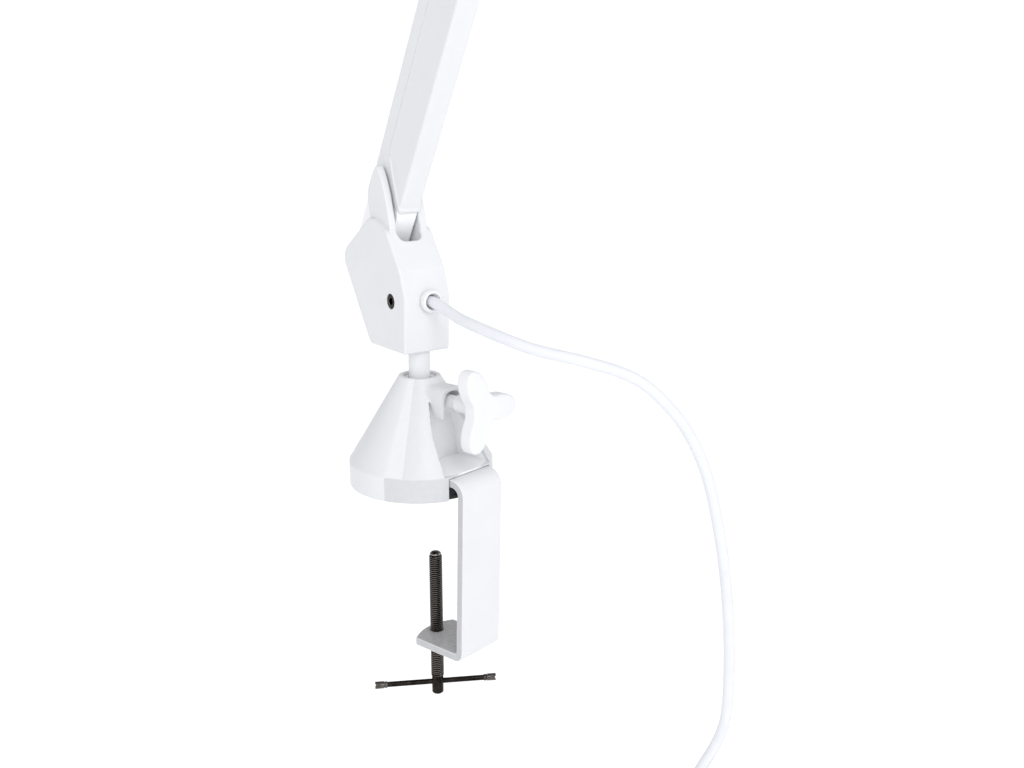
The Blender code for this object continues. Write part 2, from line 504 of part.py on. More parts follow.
def build_upper_arm(k):
    px, pz = LOWER_PIVOT
    t = math.radians(TILT_LOWER)
    ex, ez = px + LOWER_LEN * math.sin(t), pz + LOWER_LEN * math.cos(t)
    b = empty("upper_arm_axis", k, (ex, 0, ez), (0, TILT_UPPER, 0))
    # tongue in the clevis, round about the elbow
    r = ELBOW_R - 1.5
    n, w = ELBOW_NECK, ARM_HALF_W
    foot = [(r * math.cos(q), r * math.sin(q)) for q in [math.radians(170 + 10 * i) for i in range(21)]]
    foot = foot + [(r, n - 10), (ARM_HALF_W - 1.8, n), (ARM_HALF_W - 1.8, n + 18), (-ARM_HALF_W, n + 18), (-ARM_HALF_W, n), (-r, n - 10)]
    line = end_line(n + 24, n + 3.0, 0.4)[1:-1]
    shown = foot[:22] + [(w - 1.0, line[-1][1] - 0.3)] + line[::-1][1:] + [(-w + 0.05, line[0][1]), (-w + 0.05, n), (-r, n - 10)]
    bar = arm_bar("upper_arm_bar", b, n + 2, UPPER_LEN - HEAD_NECK, n + 4, UPPER_LEN - HEAD_NECK + 4, foot, shown)
    combine(bar, finish(rod(4.15, -20, 20, 20, "Y"), "upper_bore_cut", parent=b, cutter=True))
    arm_shell("upper_arm_cover", b, n + 2, UPPER_LEN - HEAD_NECK, n + 24, n + 3.0)

    # clevis that the head tilts in
    h = empty("head_in_upper", b, (0, 0, UPPER_LEN), (0, 0, 0))
    end = -HEAD_NECK + GAP
    cheek = [(HEAD_R * math.cos(q), HEAD_R * math.sin(q)) for q in [math.radians(-6 + 16 * i) for i in range(13)]]
    cheek = cheek + [(-ARM_HALF_W, end + 4), (-ARM_HALF_W, end), (ARM_HALF_W, end), (ARM_HALF_W, end + 4)]
    c = finish(prism(cheek, -CHEEK_OUT, CHEEK_OUT, "Y"), "head_clevis", WHITE, h)
    combine(c, finish(block((-60, -CHEEK_IN, end + 7.5), (60, CHEEK_IN, 60)), "head_slot_cut", parent=h, cutter=True))
    combine(c, finish(block((-15.4, -3.3, end - 16), (14.0, 3.3, end + 2)), "head_plug_join", parent=h, cutter=True), "UNION")
    combine(c, finish(rod(3.1, -20, 20, 20, "Y"), "head_bore_cut", parent=h, cutter=True))
    o = CHEEK_OUT
    finish(lathe([(0, -o - 2.6), (5.0, -o - 2.6), (5.7, -o - 2.0), (5.7, -o - GAP), (2.95, -o - GAP), (2.95, o + 0.2), (0, o + 0.2)], 20, "Y"), "head_bolt", WHITE, h)
    finish(lathe([(0, o + 0.5), (5.7, o + 0.5), (5.7, o + 2.0), (5.0, o + 2.6), (0, o + 2.6)], 20, "Y"), "head_cap", WHITE, h)
    return b


def build_head(k):
    px, pz = LOWER_PIVOT
    t, u = math.radians(TILT_LOWER), math.radians(TILT_UPPER)
    hx = px + LOWER_LEN * math.sin(t) + UPPER_LEN * math.sin(u)
    hz = pz + LOWER_LEN * math.cos(t) + UPPER_LEN * math.cos(u)
    h = empty("head_axis", k, (hx, 0, hz), (0, HEAD_TILT, 0))
    # tongue with a round neck that the head twists on
    r = HEAD_R - 1.0
    tongue = [(r * math.cos(q), r * math.sin(q)) for q in [math.radians(170 + 20 * i) for i in range(11)]]
    tongue = tongue + [(8.0, 20.0), (8.0, 27.0), (-8.0, 27.0), (-8.0, 20.0)]
    n = finish(prism(tongue, -6.4, 6.4, "Y"), "head_neck", WHITE, h)
    combine(n, finish(rod(3.15, -20, 20, 20, "Y"), "neck_bore_cut", parent=h, cutter=True))
    combine(n, finish(rod(4.0, 24, 44, 20), "neck_pin_join", parent=h, cutter=True), "UNION")
    combine(n, finish(lathe([(0, 39.5), (5.4, 39.5), (5.4, 42.5), (0, 42.5)], 20), "neck_head_join", parent=h, cutter=True), "UNION")

    # head: local X is its back, -X faces the table; length along local Z
    s0, s1 = 30.0, 30.0 + HEAD_LEN
    w, d = HEAD_W / 2, HEAD_T / 2
    sec = rounded([(-d, -w, 2.0), (d, -w * 0.92, 5.0), (d, w * 0.92, 5.0), (-d, w, 2.0)], 4)
    prof = finish(prism(sec, s0 + 4.3, s1 - 4.3, "Z"), "head_housing", WHITE, h)
    cav = [(-d - 1, -w + 3.4), (-d + 2.6, -w + 3.4), (-d + 2.6, -w + 5.4), (d - 2.4, -w + 6.4), (d - 2.4, w - 6.4), (-d + 2.6, w - 5.4), (-d + 2.6, w - 3.4), (-d - 1, w - 3.4)]
    combine(prof, finish(prism(cav, s0 + 54.0, s1 - 12.0, "Z"), "head_cavity_cut", parent=h, cutter=True))
    combine(prof, finish(rod(4.3, 20, 60, 20), "neck_hole_cut", parent=h, cutter=True))
    combine(prof, finish(block((-6.2, -6.2, 39.0), (6.2, 6.2, 43.0)), "neck_room_cut", parent=h, cutter=True))
    combine(prof, finish(block((-3.2, -3.2, 42.0), (3.2, 3.2, s0 + 60)), "head_wire_cut", parent=h, cutter=True))
    for name, lo, hi in (("head_end_cap_inner", s0, s0 + 4.0), ("head_end_cap_outer", s1 - 4.0, s1)):
        c = finish(prism(sec, lo, hi, "Z"), name, WHITE_PLASTIC, h)
        if lo == s0:
            combine(c, finish(rod(4.3, 20, 60, 20), "cap_hole_cut", parent=h, cutter=True))
    # diffuser and the board behind it
    finish(prism(rounded([(-d + 0.1, -w + 3.7, 0.8), (-d + 2.3, -w + 3.7, 0), (-d + 2.3, w - 3.7, 0), (-d + 0.1, w - 3.7, 0.8)], 2), s0 + 54.3, s1 - 12.3, "Z"), "diffuser", DIFFUSER, h)
    finish(block((d - 4.0, -w + 8.0, s0 + 56), (d - 2.7, w - 8.0, s1 - 14)), "led_board", BOARD, h)
    # round push button, pressed towards the back of the head
    combine(prof, finish(moved(rod(7.3, -d - 1, -d + 4.4, 24, "X"), (0, 0, s0 + 40)), "button_well_cut", parent=h, cutter=True))
    finish(moved(lathe([(0, -d - 1.4), (6.2, -d - 1.4), (7.0, -d - 0.8), (7.0, -d + 2.4), (0, -d + 2.4)], 24, "X"), (0, 0, s0 + 40)), "power_button", WHITE_PLASTIC, h)
    return h


# ---------------------------------------------------------------- mains lead
def smooth(points, step):
    """Even points on a Catmull-Rom curve through the route's own points."""
    p = [Vector(q) for q in points]
    p = [p[0] * 2 - p[1]] + p + [p[-1] * 2 - p[-2]]
    fine = []
    for i in range(1, len(p) - 2):
        for j in range(24):
            t = j / 24
            a, b, c, d = p[i - 1], p[i], p[i + 1], p[i + 2]
            fine.append(0.5 * (2 * b + (c - a) * t + (2 * a - 5 * b + 4 * c - d) * t * t + (3 * b - a - 3 * c + d) * t ** 3))
    fine.append(p[-2])
    acc = [0.0]
    for a, b in zip(fine, fine[1:]):
        acc.append(acc[-1] + (b - a).length)
    n = max(2, round(acc[-1] / step))
    out, j = [], 0
    for i in range(n + 1):
        s = acc[-1] * i / n
        while j < len(acc) - 2 and acc[j + 1] < s:
            j += 1
        f = (s - acc[j]) / (acc[j + 1] - acc[j])
        out.append(fine[j].lerp(fine[j + 1], min(max(f, 0), 1)))
    return out


ROUTE = [  # from the collar, out behind the table edge, then down
    (11.4, -1.28, 110.8), (16.5, -2.5, 110.3), (27.2, -5.2, 108.2), (39.4, -8.1, 105.4), (51.3, -10.2, 103.6), (61.8, -11.0, 101.9),
    (71.7, -10.5, 99.8), (81.4, -8.8, 97.4), (89.6, -6.2, 95.2), (97.5, -2.6, 93.4), (103.5, 0.9, 92.1), (109.6, 5.1, 90.6),
    (118.9, 13.0, 87.3), (126.3, 20.2, 84.0), (133.8, 27.7, 79.2), (139.6, 33.5, 73.4), (145.8, 39.6, 64.9), (151.9, 45.8, 54.5),
    (157.6, 51.4, 41.0), (162.6, 56.4, 24.0), (166.8, 60.6, 2.0), (170.5, 64.3, -24.0), (173.4, 67.2, -54.0), (175.2, 69.0, -87.0),
    (175.2, 69.0, -121.0), (172.7, 66.7, -147.0),
]


def build_cord(k):
    inv = Matrix.Rotation(-math.radians(KNUCKLE_TURN), 3, "Z")
    h = Vector((math.cos(math.radians(48)), math.sin(math.radians(48)), 0))       # horizontal direction in the coil's plane
    c = Vector(COIL_CENTRE)
    # the lead comes down on the side of the coil nearest the lamp, tangent to its turns
    ang = math.radians(152)
    join = c + h * (COIL_R * math.cos(ang)) + Vector((0, 0, COIL_R * math.sin(ang)))
    tang = h * math.sin(ang) + Vector((0, 0, -math.cos(ang)))                       # back along the lead, away from the coil
    pts = [Vector(p) for p in ROUTE] + [join + tang * 35.5]
    line = smooth([tuple(inv @ p) for p in pts], 13.5)
    curve("cord_run", line, k)

    # coil: a turned ring standing upright
    bm = bmesh.new()
    seg, prof = 40, 10
    rings = []
    for i in range(seg):
        a = 2 * math.pi * i / seg
        row = []
        for j in range(prof):
            b = 2 * math.pi * j / prof
            r = COIL_R + COIL_HALF_W * math.cos(b)
            side = COIL_HALF_H * math.sin(b)
            v = c + h * (r * math.cos(a)) + Vector((0, 0, r * math.sin(a))) + Vector((-h.y, h.x, 0)) * side
            row.append(bm.verts.new(inv @ v))
        rings.append(row)
    for i in range(seg):
        a, b = rings[i], rings[(i + 1) % seg]
        for j in range(prof):
            m = (j + 1) % prof
            bm.faces.new((a[j], b[j], b[m], a[m]))
    coil = finish(bm, "cord_coil", FLEX, k)

    def sleeve(name, at, r_in, r_out, half, mat):
        """Short band round the coil's turns at an angle."""
        a = math.radians(at)
        o = c + h * (COIL_R * math.cos(a)) + Vector((0, 0, COIL_R * math.sin(a)))
        ax = -h * math.sin(a) + Vector((0, 0, math.cos(a)))
        ex = h * math.cos(a) + Vector((0, 0, math.sin(a)))
        ey = Vector((-h.y, h.x, 0))
        bm = bmesh.new()
        loops = []
        for r, s in ((r_in, -half), (r_out, -half), (r_out, half), (r_in, half)):
            loops.append([bm.verts.new(inv @ (o + ax * s + (ex * math.cos(q) + ey * math.sin(q)) * r)) for q in [2 * math.pi * i / 20 for i in range(20)]])
        loops.append(loops[0])
        for la, lb in zip(loops, loops[1:]):
            for i in range(20):
                j = (i + 1) % 20
                bm.faces.new((la[i], la[j], lb[j], lb[i]))
        return finish(bm, name, mat, k)

    sleeve("cord_tie", 90, COIL_HALF_W + 0.9, COIL_HALF_W + 2.0, 5.0, BLACK_RUBBER)

    # tail: leaves the turns low on the side nearest the lamp, running on in the winding's direction, and hangs to the plug
    out = math.radians(205)
    side = c + h * (COIL_R * math.cos(out)) + Vector((0, 0, COIL_R * math.sin(out)))
    t2 = -h * math.sin(out) + Vector((0, 0, math.cos(out)))
    s0 = side + t2 * 35.5
    tail_pts = [s0, s0 + t2 * 5.5, s0 + t2 * 9.5 + Vector((0, 0, -2.5)), s0 + t2 * 12 + Vector((0, 0, -8.0)), s0 + t2 * 13 + Vector((0, 0, -16.0))]
    tail = smooth([tuple(inv @ p) for p in tail_pts], 6.5)
    curve("cord_tail", tail, k)
    end, prev = tail[-1], tail[-2]
    d = (end - prev).normalized()
    plug(end + d * GAP, d, k)


def curve(name, pts, parent):
    cu = bpy.data.curves.new(name, "CURVE")
    cu.dimensions = "3D"
    cu.bevel_depth = CORD_D / 2 * MM
    cu.bevel_resolution = 3
    cu.use_fill_caps = True
    sp = cu.splines.new("POLY")
    sp.points.add(len(pts) - 1)
    for q, p in zip(sp.points, pts):
        q.co = (p.x * MM, p.y * MM, p.z * MM, 1)
    o = bpy.data.objects.new(name, cu)
    bpy.context.scene.collection.objects.link(o)
    cu.materials.append(material(*FLEX))
    o.parent = parent
    return o


def plug(at, d, parent):
    """Slim two-pin plug: oval body that tapers to its grip, and two round pins."""
    z = d
    x = Vector((0, 1, 0)).cross(z).normalized()
    y = z.cross(x)
    bm = bmesh.new()
    loops = []
    for s, hw, ht in ((0, 4.4, 4.4), (10, 5.0, 5.0), (16, 8.0, 6.2), (24, 11.5, 6.9), (40, 12.6, 7.0), (47, 17.2, 7.0), (49.5, 17.2, 7.0)):
        row = []
        for i in range(20):
            q = 2 * math.pi * i / 20
            cx, cy = math.cos(q), math.sin(q)
            e = 0.75
            row.append(bm.verts.new(at + z * s + y * (hw * math.copysign(abs(cx) ** e, cx)) + x * (ht * math.copysign(abs(cy) ** e, cy))))
        loops.append(row)
    for a, b in zip(loops, loops[1:]):
        for i in range(20):
            j = (i + 1) % 20
            bm.faces.new((a[i], a[j], b[j], b[i]))
    bm.faces.new(loops[0][::-1])
    bm.faces.new(loops[-1])
    finish(bm, "plug_body", WHITE_PLASTIC, parent)
    for name, sgn in (("plug_pin_a", -1), ("plug_pin_b", 1)):
        bm = bmesh.new()
        loops = []
        for s, r in ((49.8, 2.0), (67.6, 2.0), (68.6, 1.2)):
            loops.append([bm.verts.new(at + z * s + y * (9.3 * sgn + r * math.cos(2 * math.pi * i / 12)) + x * (r * math.sin(2 * math.pi * i / 12))) for i in range(12)])
        for a, b in zip(loops, loops[1:]):
            for i in range(12):
                j = (i + 1) % 12
                bm.faces.new((a[i], a[j], b[j], b[i]))
        bm.faces.new(loops[0][::-1])
        bm.faces.new(loops[-1])
        finish(bm, name, STEEL, parent)


def main():
    clear()
    build_base()
    build_bracket()
    build_clamp_screw()
    build_knob()
    k = empty("knuckle_axis", rot=(0, 0, KNUCKLE_TURN))
    build_knuckle(k)
    build_lower_arm(k)
    build_upper_arm(k)
    build_head(k)
    build_cord(k)


main()
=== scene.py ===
"""Looks of the clamp-mounted swing arm desk lamp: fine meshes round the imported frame, materials, light and camera.

Sizes below are millimetres in the lamp's frame: origin under the base on the table top, +Z up, +X the back.
Shapes with blends and fillets are written as signed distances and meshed on a grid that is fine only where it matters.
"""
import json
import math

import bmesh
import bpy
import numpy as np
from mathutils import Matrix, Vector


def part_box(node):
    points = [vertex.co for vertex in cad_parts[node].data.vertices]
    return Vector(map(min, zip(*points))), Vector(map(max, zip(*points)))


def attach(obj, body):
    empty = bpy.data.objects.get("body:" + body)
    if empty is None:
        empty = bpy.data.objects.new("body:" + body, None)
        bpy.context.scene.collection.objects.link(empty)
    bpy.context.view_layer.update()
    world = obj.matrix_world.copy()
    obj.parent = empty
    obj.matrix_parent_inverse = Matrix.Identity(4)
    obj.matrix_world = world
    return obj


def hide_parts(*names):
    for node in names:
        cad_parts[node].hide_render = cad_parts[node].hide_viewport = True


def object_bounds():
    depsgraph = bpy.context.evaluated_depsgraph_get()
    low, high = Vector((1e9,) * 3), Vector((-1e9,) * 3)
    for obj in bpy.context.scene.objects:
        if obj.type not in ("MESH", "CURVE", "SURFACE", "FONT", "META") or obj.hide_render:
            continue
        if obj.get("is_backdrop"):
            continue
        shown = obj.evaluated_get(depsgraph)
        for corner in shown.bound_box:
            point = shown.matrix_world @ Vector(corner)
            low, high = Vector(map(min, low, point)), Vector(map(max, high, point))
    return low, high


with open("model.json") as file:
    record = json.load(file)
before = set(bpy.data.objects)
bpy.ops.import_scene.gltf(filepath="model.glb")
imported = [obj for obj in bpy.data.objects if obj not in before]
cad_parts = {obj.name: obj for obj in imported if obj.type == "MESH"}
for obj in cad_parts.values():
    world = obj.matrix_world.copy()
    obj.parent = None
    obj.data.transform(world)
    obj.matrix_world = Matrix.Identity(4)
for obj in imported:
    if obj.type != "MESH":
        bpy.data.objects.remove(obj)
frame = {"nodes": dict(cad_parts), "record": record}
_lo, _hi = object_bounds()
CAD_BOX = [[float(v) for v in _lo], [float(v) for v in _hi]]
MM = 0.001
rad = math.radians

# ---------------------------------------------------------------- frames (mm)
PX, PZ = -44.3, 131.0
TILT_LOWER, TILT_UPPER, HEAD_TILT = 29.85, -78.0, -94.0
LOWER_LEN, UPPER_LEN, HEAD_LEN = 400.0, 380.0, 330.0
EX, EZ = PX + LOWER_LEN * math.sin(rad(TILT_LOWER)), PZ + LOWER_LEN * math.cos(rad(TILT_LOWER))
HX, HZ = EX + UPPER_LEN * math.sin(rad(TILT_UPPER)), EZ + UPPER_LEN * math.cos(rad(TILT_UPPER))
ONE = Matrix.Identity(4)
K = Matrix.Rotation(rad(-13.94), 4, "Z")
ARM_A = K @ Matrix.Translation((PX, 0, PZ)) @ Matrix.Rotation(rad(TILT_LOWER), 4, "Y")
ELBOW = ARM_A @ Matrix.Translation((0, 0, LOWER_LEN))
ARM_B = K @ Matrix.Translation((EX, 0, EZ)) @ Matrix.Rotation(rad(TILT_UPPER), 4, "Y")
HEAD_JOINT = ARM_B @ Matrix.Translation((0, 0, UPPER_LEN))
HEAD = K @ Matrix.Translation((HX, 0, HZ)) @ Matrix.Rotation(rad(HEAD_TILT), 4, "Y")

# ---------------------------------------------------------------- camera
CAM_AT, CAM_AZ, CAM_EL, LENS = (459.743, -459.580, 227.840), 40.21, 14.55, 39.91
cam = bpy.data.objects.new("camera", bpy.data.cameras.new("camera"))
bpy.context.scene.collection.objects.link(cam)
cam.data.sensor_width, cam.data.lens = 36.0, LENS
cam.data.clip_start, cam.data.clip_end = 0.01, 60
_b = Vector((math.sin(rad(CAM_AZ)) * math.cos(rad(CAM_EL)), -math.cos(rad(CAM_AZ)) * math.cos(rad(CAM_EL)), math.sin(rad(CAM_EL))))
cam.rotation_mode = "QUATERNION"
cam.rotation_quaternion = (-_b).to_track_quat("-Z", "Y")
cam.location = Vector(CAM_AT) * MM
bpy.context.scene.camera = cam
bpy.context.scene.view_settings.view_transform = "Standard"


# ---------------------------------------------------------------- materials
def nodes_of(name):
    m = bpy.data.materials.new(name)
    m.use_nodes = True
    t = m.node_tree
    t.nodes.clear()
    out = t.nodes.new("ShaderNodeOutputMaterial")
    p = t.nodes.new("ShaderNodeBsdfPrincipled")
    t.links.new(p.outputs[0], out.inputs[0])
    co = t.nodes.new("ShaderNodeTexCoord")
    return m, t, p, co


def noise(t, co, scale, detail=3.0, rough=0.55, stretch=None):
    n = t.nodes.new("ShaderNodeTexNoise")
    n.inputs["Scale"].default_value = scale
    n.inputs["Detail"].default_value = detail
    n.inputs["Roughness"].default_value = rough
    if stretch:
        mp = t.nodes.new("ShaderNodeMapping")
        mp.inputs["Scale"].default_value = stretch
        t.links.new(co.outputs["Object"], mp.inputs[0])
        t.links.new(mp.outputs[0], n.inputs["Vector"])
    else:
        t.links.new(co.outputs["Object"], n.inputs["Vector"])
    return n.outputs["Fac"]


def ramp(t, fac, a, b, lo=0.3, hi=0.7):
    r = t.nodes.new("ShaderNodeValToRGB")
    r.color_ramp.elements[0].position, r.color_ramp.elements[1].position = lo, hi
    r.color_ramp.elements[0].color, r.color_ramp.elements[1].color = (*a, 1), (*b, 1)
    t.links.new(fac, r.inputs[0])
    return r.outputs[0]


def span(t, fac, a, b):
    r = t.nodes.new("ShaderNodeMapRange")
    r.inputs["From Min"].default_value, r.inputs["From Max"].default_value = 0.3, 0.7
    r.inputs["To Min"].default_value, r.inputs["To Max"].default_value = a, b
    t.links.new(fac, r.inputs[0])
    return r.outputs[0]


def mixed(t, fac, a, b, how="MIX"):
    m = t.nodes.new("ShaderNodeMix")
    m.data_type, m.blend_type = "RGBA", how
    if isinstance(fac, float):
        m.inputs[0].default_value = fac
    else:
        t.links.new(fac, m.inputs[0])
    for s, v in ((m.inputs[6], a), (m.inputs[7], b)):
        if isinstance(v, tuple):
            s.default_value = (*v, 1)
        else:
            t.links.new(v, s)
    return m.outputs[2]


def bump(t, p, fac, strength, distance):
    b = t.nodes.new("ShaderNodeBump")
    b.inputs["Strength"].default_value = strength
    b.inputs["Distance"].default_value = distance
    t.links.new(fac, b.inputs["Height"])
    t.links.new(b.outputs[0], p.inputs["Normal"])
    return b


def painted_gap_shade(t, colour, dark, dist):
    """Painted shade: colour darkened in narrow gaps by ambient occlusion."""
    ao = t.nodes.new("ShaderNodeAmbientOcclusion")
    ao.samples = 4
    ao.inputs["Distance"].default_value = dist
    inv = t.nodes.new("ShaderNodeMapRange")
    inv.inputs["From Min"].default_value, inv.inputs["From Max"].default_value = 0.1, 0.6
    t.links.new(ao.outputs["AO"], inv.inputs[0])
    return mixed(t, inv.outputs[0], dark, colour)


def powder_coat(name, a=(0.735, 0.742, 0.757), b=(0.76, 0.766, 0.777)):
    """White powder coat: fine orange peel, slight cloudiness in colour and gloss."""
    m, t, p, co = nodes_of(name)
    cloud = noise(t, co, 34.0, 4.0)
    peel = noise(t, co, 1500.0, 2.0, 0.5)
    col = ramp(t, cloud, a, b)
    t.links.new(col, p.inputs["Base Color"])
    t.links.new(span(t, noise(t, co, 160.0, 4.0), 0.34, 0.46), p.inputs["Roughness"])
    p.inputs["Specular IOR Level"].default_value = 0.5
    p.inputs["Coat Weight"].default_value = 0.12
    p.inputs["Coat Roughness"].default_value = 0.25
    bump(t, p, peel, 0.16, 0.00006)
    return m


def moulded(name, a, b, rough=(0.36, 0.5), grain=2400.0, strength=0.2):
    """Injection-moulded plastic with a fine spark-eroded grain."""
    m, t, p, co = nodes_of(name)
    t.links.new(ramp(t, noise(t, co, 60.0), a, b), p.inputs["Base Color"])
    t.links.new(span(t, noise(t, co, 300.0), *rough), p.inputs["Roughness"])
    p.inputs["Subsurface Weight"].default_value = 0.0
    bump(t, p, noise(t, co, grain, 2.0), strength, 0.00005)
    return m


def pvc(name):
    """Soft white PVC of a lead: satin, with very faint draw marks along it."""
    m, t, p, co = nodes_of(name)
    t.links.new(ramp(t, noise(t, co, 90.0), (0.76, 0.775, 0.81), (0.79, 0.80, 0.825)), p.inputs["Base Color"])
    t.links.new(span(t, noise(t, co, 420.0), 0.38, 0.52), p.inputs["Roughness"])
    bump(t, p, noise(t, co, 900.0, 3.0), 0.15, 0.00008)
    return m


def metal(name, a, b, rough, grain=(1, 1, 1), scale=900.0, strength=0.25, wear_and_highlight=None, tarnish=0.0):
    """Machined or plated metal: tool marks, uneven gloss, brighter worn edges that also stand in for painted highlights
    on sharp crests.
    """
    m, t, p, co = nodes_of(name)
    col = ramp(t, noise(t, co, 220.0, 5.0), a, b)
    if wear_and_highlight:
        # worn edges and painted highlight: sharp edges and thread crests get a brighter colour
        g = t.nodes.new("ShaderNodeNewGeometry")
        r = t.nodes.new("ShaderNodeMapRange")
        r.inputs["From Min"].default_value, r.inputs["From Max"].default_value = 0.52, 0.6
        t.links.new(g.outputs["Pointiness"], r.inputs[0])
        col = mixed(t, r.outputs[0], col, wear_and_highlight)
    t.links.new(col, p.inputs["Base Color"])
    p.inputs["Metallic"].default_value = 1.0
    t.links.new(span(t, noise(t, co, 700.0, 4.0), *rough), p.inputs["Roughness"])
    bump(t, p, noise(t, co, scale, 3.0, 0.6, grain), strength, 0.00004)
    return m


def rubber(name):
    m, t, p, co = nodes_of(name)
    t.links.new(ramp(t, noise(t, co, 150.0), (0.012, 0.012, 0.012), (0.03, 0.03, 0.031)), p.inputs["Base Color"])
    t.links.new(span(t, noise(t, co, 500.0), 0.6, 0.85), p.inputs["Roughness"])
    bump(t, p, noise(t, co, 1800.0, 2.0), 0.3, 0.0001)
    return m


def opal(name):
    """Opal acrylic diffuser with a fine prismatic ribbing across it."""
    m, t, p, co = nodes_of(name)
    t.links.new(ramp(t, noise(t, co, 40.0), (0.86, 0.86, 0.84), (0.9, 0.9, 0.885)), p.inputs["Base Color"])
    t.links.new(span(t, noise(t, co, 200.0), 0.3, 0.42), p.inputs["Roughness"])
    w = t.nodes.new("ShaderNodeTexWave")
    w.inputs["Scale"].default_value = 320.0
    w.inputs["Distortion"].default_value = 0.0
    t.links.new(co.outputs["Object"], w.inputs["Vector"])
    bump(t, p, w.outputs["Fac"], 0.35, 0.00015)
    return m


PAINT = powder_coat("powder_coat_white")


def strap_paint():
    """The strap's paint, with a grey band on the lower arm's upper face and painted shade darkening its side faces."""
    m = powder_coat("powder_coat_strap_painted_shade")
    t = m.node_tree
    p = next(n for n in t.nodes if n.type == "BSDF_PRINCIPLED")
    base = p.inputs["Base Color"].links[0].from_socket
    g = t.nodes.new("ShaderNodeNewGeometry")
    up, at = t.nodes.new("ShaderNodeSeparateXYZ"), t.nodes.new("ShaderNodeSeparateXYZ")
    t.links.new(g.outputs["Normal"], up.inputs[0])
    co = t.nodes.new("ShaderNodeTexCoord")
    t.links.new(co.outputs["Object"], at.inputs[0])

    def step(sock, lo, hi, a=0.0, b=1.0):
        r = t.nodes.new("ShaderNodeMapRange")
        r.inputs["From Min"].default_value, r.inputs["From Max"].default_value = lo, hi
        r.inputs["To Min"].default_value, r.inputs["To Max"].default_value = a, b
        t.links.new(sock, r.inputs[0])
        return r.outputs[0]

    def times(a, b):
        k = t.nodes.new("ShaderNodeMath")
        k.operation = "MULTIPLY"
        t.links.new(a, k.inputs[0])
        t.links.new(b, k.inputs[1])
        return k.outputs[0]

    mask = times(times(step(up.outputs[2], 0.82, 0.97), step(at.outputs[2], -0.088, -0.084, 1.0, 0.0)), step(at.outputs[0], 0.0395, 0.0415, 1.0, 0.0))
    grey = ramp(t, noise(t, co, 420.0, 5.0), (0.40, 0.398, 0.397), (0.52, 0.518, 0.517))
    # painted shade: the strap's cut edges, its faces along Y, coloured darker
    edge = t.nodes.new("ShaderNodeMath")
    edge.operation = "ABSOLUTE"
    t.links.new(up.outputs[1], edge.inputs[0])
    thin = ramp(t, noise(t, co, 300.0, 4.0), (0.49, 0.492, 0.503), (0.53, 0.532, 0.542))
    coat = mixed(t, step(edge.outputs[0], 0.85, 0.98), base, thin)
    t.links.new(mixed(t, mask, coat, grey), p.inputs["Base Color"])
    return m


def base_paint():
    """The base's paint, with painted light in the recess and on the facet, and painted shade on the back and the skirt
    there.
    """
    m = powder_coat("powder_coat_base_painted_light_and_shade")
    t = m.node_tree
    p = next(n for n in t.nodes if n.type == "BSDF_PRINCIPLED")
    base = p.inputs["Base Color"].links[0].from_socket
    co = t.nodes.new("ShaderNodeTexCoord")
    at = t.nodes.new("ShaderNodeSeparateXYZ")
    t.links.new(co.outputs["Object"], at.inputs[0])

    def calc(op, a, b):
        k = t.nodes.new("ShaderNodeMath")
        k.operation = op
        for i, v in enumerate((a, b)):
            if isinstance(v, (int, float)):
                k.inputs[i].default_value = v
            else:
                t.links.new(v, k.inputs[i])
        return k.outputs[0]

    def step(sock, lo, hi):
        r = t.nodes.new("ShaderNodeMapRange")
        r.inputs["From Min"].default_value, r.inputs["From Max"].default_value = lo, hi
        t.links.new(sock, r.inputs[0])
        return r.outputs[0]

    radius = calc("SQRT", calc("ADD", calc("MULTIPLY", at.outputs[0], at.outputs[0]), calc("MULTIPLY", at.outputs[1], at.outputs[1])), 0.0)
    # how far inside the cone's outer face a point lies
    deep = calc("SUBTRACT", calc("SUBTRACT", BASE_R * MM, calc("MULTIPLY", calc("SUBTRACT", at.outputs[2], SKIRT_Z * MM), SLOPE)), radius)
    # painted light: the recess's faces, inside the cone's outer face, get a lighter colour
    recess_painted_light = calc("MULTIPLY", step(deep, 0.0022, 0.0034), calc("MULTIPLY", step(at.outputs[0], 0.0112, 0.0118), step(at.outputs[2], 0.0125, 0.0135)))
    light = ramp(t, noise(t, co, 300.0, 4.0), (0.93, 0.935, 0.945), (0.95, 0.955, 0.96))
    # painted shade for the skirt below the facet and the back, applied below
    flat = ramp(t, noise(t, co, 300.0, 4.0), (0.59, 0.60, 0.615), (0.615, 0.624, 0.637))
    low = calc("SUBTRACT", 1.0, step(at.outputs[2], (SKIRT_Z - 0.5) * MM, (SKIRT_Z + 0.1) * MM))
    turn = calc("DIVIDE", at.outputs[0], radius)
    # painted light on the facet band, painted shade on the back
    facet, behind = step(turn, 0.25, 0.268), step(turn, 0.49, 0.51)
    even = ramp(t, noise(t, co, 300.0, 4.0), (0.765, 0.77, 0.782), (0.785, 0.79, 0.80))
    back_painted_shade = ramp(t, noise(t, co, 300.0, 4.0), (0.675, 0.682, 0.696), (0.695, 0.702, 0.714))
    coat = mixed(t, behind, mixed(t, facet, base, even), back_painted_shade)
    coat = mixed(t, calc("MULTIPLY", low, facet), coat, flat)
    t.links.new(mixed(t, recess_painted_light, coat, light), p.inputs["Base Color"])
    return m


